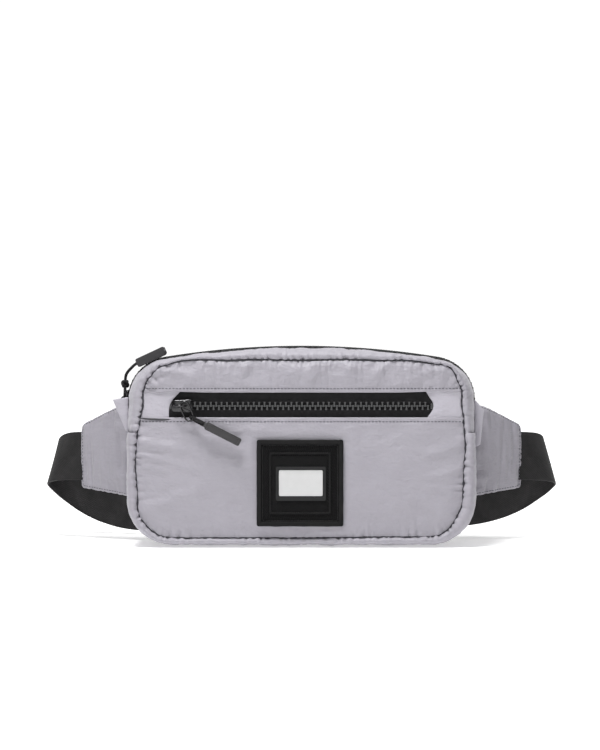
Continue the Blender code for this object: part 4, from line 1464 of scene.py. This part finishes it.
def frame_piece(name, half, centre, radius, width, height, y, wave):
    """A raised rounded rim along a square, seen from the front."""
    cx, cz = centre
    path = standing(rectangle(cx - half, cx + half, cz - half, cz + half, radius, 5))
    path = spread(path + [path[0]], 200)[:-1]
    rings = []
    n = len(path)
    for i, p in enumerate(path):
        along = (path[(i + 1) % n] - path[i - 1]).normalized()
        inward = Vector((-along.z, 0, along.x))
        ring = []
        swell = 1 + wave * ripple((p.x, 0, p.z), 160, 6.0)
        for k in range(12):
            a = 2 * math.pi * k / 12
            c, s = math.cos(a), math.sin(a)
            ring.append(p + inward * width / 2 * math.copysign(abs(c) ** 0.75, c) * swell
                        + Vector((0, y - height / 2 * math.copysign(abs(s) ** 0.75, s) * swell, 0)))
        rings.append(ring)
    obj = swept(name, rings, PATCH_RIM, closed=True)
    return settle(obj, "root", "patch_weave")


def patch_face(centre, half, front):
    """The woven face of the patch, domed, with a step round its middle."""
    rows = []
    for j in range(61):
        row = []
        for i in range(61):
            u, v = i / 30 - 1, j / 30 - 1
            x, z = centre[0] + u * (half - 0.0036), centre[1] + v * (half - 0.0036)
            out = max(abs(u), abs(v))
            dome = 0.0007 * (1 - out ** 6)
            step = 0.00045 * math.exp(-((out - 0.80) / 0.06) ** 4)
            row.append(Vector((x, front - 0.0001 - dome + step + 0.00012 * ripple((x, 0, z), 90, 12.0), z)))
        rows.append(row)
    obj = sheet_mesh("patch_face", rows, PATCH)
    face_front(obj)
    thicken(obj, 0.0005, -1, 0)
    settle(obj, "root", "patch_weave", "patch_inner_frame")


def patch():
    """The square patch: woven face, raised rim and step, stitches and the plain label in its frame."""
    low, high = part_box("patch_base")
    centre = ((low[0] + high[0]) / 2, (low[2] + high[2]) / 2)
    half = (high[0] - low[0]) / 2
    front = low[1]
    rim = frame_piece("patch_rim", half - 0.0019, centre, 0.0016, 0.0038, 0.0024, front - 0.0002, 0.12)
    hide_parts("patch_border")
    patch_face(centre, half, front)
    frame_piece("patch_step", 0.0222, centre, 0.0008, 0.0016, 0.0009, front - 0.0008, 0.1)
    smooth_node("patch_base", PATCH_RIM, 0.0004)
    smooth_node("label_frame", FRAME_RUBBER, 0.0005)
    smooth_node("label_plate", LABEL, 0.0004)
    reach = half - 0.0043
    line = rectangle(centre[0] - reach, centre[0] + reach, centre[1] - reach, centre[1] + reach, 0.0006, 2)
    route = [Vector((x, front - 0.0006, z)) for x, z in line]
    route = spread(route + [route[0]], 160)
    row = stitches("patch_stitches", route, (0, -1, 0), 0.0021, 0.0014, 0.00020, BLACK_THREAD)
    settle(row, "root", "patch_weave")


# Wings and ears

WING_ROOT = Vector((0.134, 0.026, 0))
WING_LENGTH = 0.0460
WING_TURN = math.radians(32)


def wing_heights(u):
    """Lowest and highest point of a wing at distance u from its root."""
    t = min(max(u / WING_LENGTH, 0), 1)
    low = 0.0325 + 0.0055 * t
    high = 0.1045 if u < 0.006 else 0.1045 - 0.0035 * min((u - 0.006) / 0.011, 1)
    if u > 0.017:
        high = 0.1010 - 0.0125 * (u - 0.017) / (WING_LENGTH - 0.017)
    return low, high


def wing_rings(side, lengths, along, out, root):
    """Rings round a wing, one at each distance from its root: padded, and thin at its rim."""
    rings = []
    for u in lengths:
        low, high = wing_heights(u)
        corner = max(u - (WING_LENGTH - 0.003), 0) / 0.003
        low, high = low + 0.0012 * corner ** 2, high - 0.0012 * corner ** 2
        ring = []
        for face in (1, -1):
            for k in range(30):
                t = k / 30 if face > 0 else 1 - k / 30
                z = low + (high - low) * t
                rim = min(z - low, high - z, max(WING_LENGTH - u, 0))
                thick = 0.0012 + 0.0019 * (1 - math.exp(-max(min(rim, u + 0.0030) - 0.0016, 0) / 0.004))
                near = math.exp(-((rim - 0.0022) / 0.0007) ** 2) * 0.00035
                swell = 0.0007 * ripple((u * 2.2, 0, z * 0.7), 60, 13.0 + side) * min(rim / 0.006, 1)
                ring.append(root + along * u + Vector((0, 0, z)) + out * face * (thick - near + swell))
        rings.append(ring)
    return rings


def lay_flat(obj, root, along):
    """Gives a wing UVs in metres, measured from its root and up it."""
    work = bmesh.new()
    work.from_mesh(obj.data)
    uv = work.loops.layers.uv.new("metres")
    for face in work.faces:
        for loop in face.loops:
            p = loop.vert.co - root
            loop[uv].uv = (p.dot(along), p.z)
    work.to_mesh(obj.data)
    work.free()


def wing_stitches(obj, word, face, along, out, root):
    """The stitches inside the rim of one face of a wing."""
    edge = 0.0024
    lengths = [0.001 + (WING_LENGTH - edge - 0.001) * i / 20 for i in range(21)]
    low, high = wing_heights(WING_LENGTH - edge)
    border = [(u, wing_heights(u)[0] + edge) for u in lengths]
    border += [(WING_LENGTH - edge, low + edge + (high - low - 2 * edge) * i / 20) for i in range(1, 20)]
    border += [(u, wing_heights(u)[1] - edge) for u in lengths[::-1]]
    route = []
    for u, z in border:
        middle = root + along * u + Vector((0, 0, z))
        hit, place, _, _ = obj.ray_cast(middle + out * face * 0.02, out * -face)
        route.append(place if hit else middle + out * face * 0.001)
    name = f"wing_{word}_stitches_{'front' if face > 0 else 'rear'}"
    row = stitches(name, route, tuple(out * face), 0.0025, 0.0015, 0.00028, GREY_THREAD)
    settle(row, f"wing_{word}", "shell_fabric")


def wing(word, side):
    """A padded wing beside the pouch, with its upright creases and topstitched rim."""
    along = Vector((side * math.cos(WING_TURN), math.sin(WING_TURN), 0))
    out = Vector((math.sin(WING_TURN) * side, -math.cos(WING_TURN), 0))
    root = Vector((side * WING_ROOT.x, WING_ROOT.y, 0))
    lengths = [-0.0030 + (WING_LENGTH + 0.0030) * i / 24 for i in range(25)]
    rings = wing_rings(side, lengths, along, out, root)
    # The wing takes the darker copy of the shell nylon: painted shade.
    obj = swept(f"wing_{word}_cloth", rings, PAINTED_SHADE_WING_SHELL)
    lay_flat(obj, root, along)
    pinned = {}
    for i, u in enumerate(lengths):
        low, high = wing_heights(u)
        for k in range(60):
            z = rings[i][k].z
            if min(z - low, high - z, WING_LENGTH - u) < 0.0026 or i == 0:
                pinned[i * 60 + k] = 1.0
    puff(obj, pinned, 8.0, 0.0009, 0.03)
    refine(obj)

    def amount(index, point):
        u = (point - root).dot(along)
        low, high = wing_heights(u)
        to_end = max(WING_LENGTH - u, 0)
        rim = min(point.z - low, high - point.z, to_end)
        s = point.z if rim == to_end else u + (0.3 if point.z > 0.066 else 0)
        tuck = 0.0006 * math.cos(2 * math.pi * point.z / 0.017 + 3 * ripple((0, 0, point.z), 60, 18.0))
        tuck *= math.exp(-(max(u, 0) / 0.012) ** 2) * min(rim / 0.004, 1)
        upright = ripple((u * 2.6, 0, point.z * 0.35), 90, 19.0 + side)
        drape = (0.0018 * upright - 0.0007 * abs(upright)) * min(rim / 0.005, 1)
        return gathers(s, abs(rim - 0.0024), 15.0 + side, 0.00035) + tuck + drape

    displace(obj, amount)
    settle(obj, f"wing_{word}", "shell_fabric", f"wing_{word}")
    for face in (1, -1):
        wing_stitches(obj, word, face, along, out, root)


# Folded ends of the zip strip: heights of the inner edge, then the outer edge's foot and head
LEFT_EAR = ((0.0838, 0.1104), (0.0016, 0.0846), (0.0112, 0.1084))
RIGHT_EAR = ((0.0720, 0.1087), (0.0042, 0.0740), (0.0068, 0.1012))


def ear(word, side, shape):
    """The folded end of the zip strip: a flattened loop of cloth that stands out of the side.

    The outer edge's foot and head are given as (distance out, height).
    """
    (low, high), foot, head = shape
    rows = []
    for j in range(17):
        t = j / 16
        inner = low + (high - low) * t
        reach = foot[0] + (head[0] - foot[0]) * t
        outer = foot[1] + (head[1] - foot[1]) * t
        row = []
        for k in range(19):
            if k <= 8:
                part, face = k / 8, -1
            elif k >= 10:
                part, face = (18 - k) / 8, 1
            else:
                part, face = 1.05, 0
            sway = 0.0006 * math.sin(math.pi * min(part, 1)) * (0.3 + t)
            crease = 0.0004 * ripple((t * 0.02, 0, part * 0.012), 170, 27.0 + side) * part
            x = side * (HALF_WIDTH + 0.0002 + reach * part)
            row.append(Vector((x, -0.0089 + face * (0.0009 + sway) + crease, inner + (outer - inner) * part)))
        rows.append(row)
    # The ear takes the lighter copy of the shell nylon: painted light.
    obj = sheet_mesh(f"ear_{word}", rows, PAINTED_LIGHT_BAND_SHELL)
    thicken(obj, 0.0006, 0, 1)
    return settle(obj, "root", "shell_fabric", f"zip_end_tab_{word}")


# Belt

BUCKLE_Y = 0.0740
BUCKLE_Z = 0.0260
BAR_TURN_R = 0.0042


def wing_end(side):
    """Where a wing's middle plane ends."""
    reach = WING_LENGTH * math.cos(WING_TURN)
    return Vector((side * (WING_ROOT.x + reach), WING_ROOT.y + WING_LENGTH * math.sin(WING_TURN), 0))


def bar_turn(x, y, radius, direction):
    """A half turn of the webbing round a bar of the buckle."""
    points = []
    for i in range(17):
        a = math.radians(-90 + 180 * i / 16)
        points.append(Vector((x + direction * radius * math.cos(a), y + radius * math.sin(a), BUCKLE_Z)))
    return points


def belt_routes():
    """Middle lines of the two straps: from the wing round behind the pouch, to the buckle and back."""
    end = wing_end(-1)
    left = [(end.x + 0.0025, end.y - 0.0016, 0.0633), (end.x - 0.0008, end.y + 0.0005, 0.0633),
            (-0.1860, 0.0590, 0.0625), (-0.1955, 0.0700, 0.0600), (-0.1985, 0.0830, 0.0555),
            (-0.1930, 0.0945, 0.0460), (-0.1800, 0.1010, 0.0350), (-0.1620, 0.1010, 0.0262),
            (-0.1400, 0.0930, 0.0212), (-0.1150, 0.0830, 0.0205), (-0.0900, 0.0755, 0.0225),
            (-0.0680, 0.0722, 0.0250)]
    left = smooth_route(left, 8)
    left += smooth_route([(-0.0680, 0.0722, 0.0250), (-0.0480, 0.0705, BUCKLE_Z)], 4)[1:]
    left += bar_turn(-0.0335, BUCKLE_Y, 0.0031, 1)
    left += smooth_route([(-0.0480, 0.0768, BUCKLE_Z), (-0.0640, 0.0760, BUCKLE_Z)], 6)
    end = wing_end(1)
    right = [(end.x - 0.0025, end.y - 0.0016, 0.0633), (end.x + 0.0008, end.y + 0.0005, 0.0633),
             (0.1870, 0.0600, 0.0625), (0.1965, 0.0720, 0.0600), (0.1990, 0.0860, 0.0555),
             (0.1925, 0.0980, 0.0460), (0.1790, 0.1050, 0.0355), (0.1600, 0.1060, 0.0280),
             (0.1400, 0.0970, 0.0245), (0.1200, 0.0840, 0.0240), (0.1020, 0.0735, 0.0252),
             (0.0860, 0.0700, 0.0258)]
    right = smooth_route(right, 8)
    right += smooth_route([(0.0860, 0.0700, 0.0258), (0.0450, BUCKLE_Y - BAR_TURN_R, BUCKLE_Z)], 6)[1:]
    right += bar_turn(0.0190, BUCKLE_Y, BAR_TURN_R, -1)
    right += smooth_route([(0.0450, BUCKLE_Y + BAR_TURN_R, BUCKLE_Z), (0.0900, BUCKLE_Y + 0.0035, BUCKLE_Z),
                           (0.1080, BUCKLE_Y + 0.0060, BUCKLE_Z - 0.0005),
                           (0.1280, BUCKLE_Y + 0.0170, BUCKLE_Z - 0.0020)], 8)
    return left, right


def belt_lean(t, side):
    """How far the webbing leans outward at its bend beside the wing."""
    return side * 0.28 * math.exp(-((t - 0.22) / 0.12) ** 2)


def webbing_rows(route, side):
    """Rows across the webbing, with a slight cup and a small waviness of its edges."""
    rows = []
    last = len(route) - 1
    for i, point in enumerate(route):
        before = route[max(i - 1, 0)]
        after = route[min(i + 1, last)]
        along = (after - before).normalized()
        flat = Vector((along.x, along.y, 0)).normalized()
        out = Vector((flat.y, -flat.x, 0))
        up = (Vector((0, 0, 1)) - out * belt_lean(i / last, side)).normalized()
        face = up.cross(along).normalized()
        row = []
        for k in (-1, -0.965, -0.9, -0.7, -0.5, -0.25, 0, 0.25, 0.5, 0.7, 0.9, 0.965, 1):
            edge = 0.00018 * ripple((i * 0.004, 0, k), 60, 17.0 + side)
            row.append(point + up * (k * WEBBING_WIDTH / 2 + edge * abs(k)) + face * 0.00015 * (k * k - 0.5))
        rows.append(row)
    return rows


def webbing_piece(name, rows, node):
    """A stretch of webbing between two bodies, kept in its place in the world with no body."""
    obj = sheet_mesh(name, rows, WEBBING)
    thicken(obj, WEBBING_THICK, 0, 1)
    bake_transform(obj)
    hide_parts(node)


def belts():
    """The left strap, and the right strap in two stretches, the inner one with the tail."""
    left, right = belt_routes()
    webbing_piece("belt_left", webbing_rows(left, -1), "strap_left")
    rows = webbing_rows(right, 1)
    cut = next(i for i, p in enumerate(right) if i > 40 and p.x < 0.136)
    webbing_piece("belt_right_outer", rows[:cut + 2], "strap_right")
    webbing_piece("belt_right_inner", rows[cut:], "strap_right")


def buckle():
    """Rounds the edges of the buckle's parts and of the keeper."""
    smooth_node("buckle_female", BUCKLE_PLASTIC, 0.0010, 3)
    smooth_node("buckle_male", BUCKLE_PLASTIC, 0.0008, 3)
    smooth_node("release_arm_upper", BUCKLE_PLASTIC, 0.0007, 3)
    smooth_node("release_arm_lower", BUCKLE_PLASTIC, 0.0007, 3)
    smooth_node("strap_keeper", BUCKLE_PLASTIC, 0.0006, 3)


# Where a U-shaped outline's side turns into its foot, as a share of its length
PAD_CORNER = 0.19


def grown_rows(outline, top):
    """The rim of a U-shaped outline, and rows of points that fill it up to its top line."""
    rim = [p for p, _ in even_rim(outline, 0.0040)]
    last = len(rim) - 1
    turn = round(last * PAD_CORNER)
    bottom = rim[turn:last - turn + 1]
    count = len(bottom) - 1
    left_top, right_top = Vector((rim[0].x, 0, top)), Vector((rim[-1].x, 0, top))
    across = [left_top.lerp(right_top, i / count) for i in range(count + 1)]
    return rim, coons(bottom, across, rim[:turn + 1][::-1], rim[last - turn:])


def pad(name, top, front_y, back_y, node):
    """A foam board with soft edges and a slightly uneven face."""
    _, rows = grown_rows(lower_outline(0.0110)[1:-1], top)
    middle = (front_y + back_y) / 2
    obj = sheet_mesh(name, [[p + Vector((0, middle, 0)) for p in row] for row in rows], FOAM)
    for v in obj.data.vertices:
        v.co.y += 0.00025 * ripple((v.co.x, 0, v.co.z), 50, 51.0)
    thicken(obj, back_y - front_y - 0.0006, 0, 1)
    settle(obj, "root", "foam", node)
    return obj


def main_lining(top, front_y, back_y):
    """The compartment's lining: its walls and two faces sewn to a tray's shape, slightly crumpled."""
    rim, face = grown_rows(lower_outline(0.0062)[1:-1], top)
    depth = back_y - front_y
    walls = [[p + Vector((0, front_y + depth * i / 8, 0)) for i in range(9)] for p in rim]
    parts = [sheet_mesh("wall", walls, LINING)]
    for y in (back_y, front_y):
        parts.append(sheet_mesh("face", [[p + Vector((0, y, 0)) for p in row] for row in face], LINING))
    obj = join("main_lining_cloth", parts)
    work = bmesh.new()
    work.from_mesh(obj.data)
    bmesh.ops.remove_doubles(work, verts=work.verts, dist=0.0001)
    bmesh.ops.recalc_face_normals(work, faces=work.faces)
    work.to_mesh(obj.data)
    work.free()
    refine(obj)
    for v in obj.data.vertices:
        v.co += v.normal * (0.0009 * ripple(v.co, 55, 53.0) + 0.0004 * ripple(v.co, 130, 54.0))
    obj.data.shade_smooth()
    thicken(obj, 0.0005, 0, 0)
    settle(obj, "root", "lining_fabric", "main_lining")


def inner_pieces():
    """Foam pads, linings and the tape that binds the seams' raw edges."""
    pad("front_pad_foam", 0.0785, -0.0330, -0.0305, "front_pad_lower")
    pad("back_pad_foam", 0.1320, 0.0305, 0.0337, "back_pad")
    main_lining(0.0770, -0.0222, 0.0226)
    smooth_node("front_pocket_bag", lining_fabric("pocket_cloth", "Object"), levels=1)
    smooth_node("seam_binding_front", BINDING, 0.0002)
    smooth_node("seam_binding_rear", BINDING, 0.0002)


# Camera, light and floor

def studio():
    """The camera, two soft lamps, the surrounding light and the floor."""
    camera = link(bpy.data.objects.new("camera", bpy.data.cameras.new("camera")))
    camera.data.lens = 96.6
    camera.location = (-0.0010, -1.5355, 0.1270)
    camera.rotation_euler = (math.pi / 2, 0, 0)
    camera.data.clip_start = 0.05
    camera.data.clip_end = 50
    bpy.context.scene.camera = camera
    bpy.context.scene.view_settings.view_transform = "Standard"
    surrounding_light()
    area_light("key", (-0.20, -0.37, 1.20), 0.46, 20.0)
    area_light("fill", (0.0, -1.5, 0.5), 1.0, 3.5)
    mesh = bpy.data.meshes.new("floor")
    work = bmesh.new()
    place = Matrix.Translation((0, 0, -0.0019))
    bmesh.ops.create_grid(work, x_segments=1, y_segments=1, size=6, matrix=place)
    work.to_mesh(mesh)
    work.free()
    mesh.materials.append(studio_floor("floor"))
    link(bpy.data.objects.new("floor", mesh))


def surrounding_light():
    """White light all round, which fades toward the viewer's side."""
    world = bpy.data.worlds.new("studio")
    world.use_nodes = True
    tree = world.node_tree
    background = tree.nodes["Background"]
    background.inputs["Color"].default_value = (1, 1, 1, 1)
    around = tree.nodes.new("ShaderNodeTexCoord")
    split = tree.nodes.new("ShaderNodeSeparateXYZ")
    fade = tree.nodes.new("ShaderNodeMapRange")
    tree.links.new(around.outputs["Generated"], split.inputs[0])
    tree.links.new(split.outputs["Y"], fade.inputs["Value"])
    for key, value in (("From Min", -0.1), ("From Max", 0.6), ("To Min", 0.04), ("To Max", 1.06)):
        fade.inputs[key].default_value = value
    tree.links.new(fade.outputs[0], background.inputs["Strength"])
    bpy.context.scene.world = world


def area_light(name, place, size, power):
    """A round lamp aimed at the pouch."""
    data = bpy.data.lights.new(name, "AREA")
    data.shape = "DISK"
    data.size = size
    data.energy = power
    lamp = link(bpy.data.objects.new(name, data))
    lamp.location = place
    aim = Vector((0, 0, 0.07)) - Vector(place)
    lamp.rotation_mode = "QUATERNION"
    lamp.rotation_quaternion = aim.to_track_quat("-Z", "Y")


studio()
lower_cloth = front_lower_cloth()
upper_cloth = front_upper_cloth()
topstitch("topstitch_upper", upper_cloth, STITCH_LINES[1], "front_flap", 1.0)
topstitch("topstitch_lower", lower_cloth, STITCH_LINES[0], "front_flap", 2.0)
band_end("left", left_band_edge)
band_end("right", right_band_edge)
fold_painted_shadow()
pouch_sides()
back_cloth()
seam_lines()
front_zip()
main_zip()
front_pull()
main_pull()
patch()
wing("left", -1)
wing("right", 1)
ear("left", -1, LEFT_EAR)
ear("right", 1, RIGHT_EAR)
belts()
buckle()
inner_pieces()
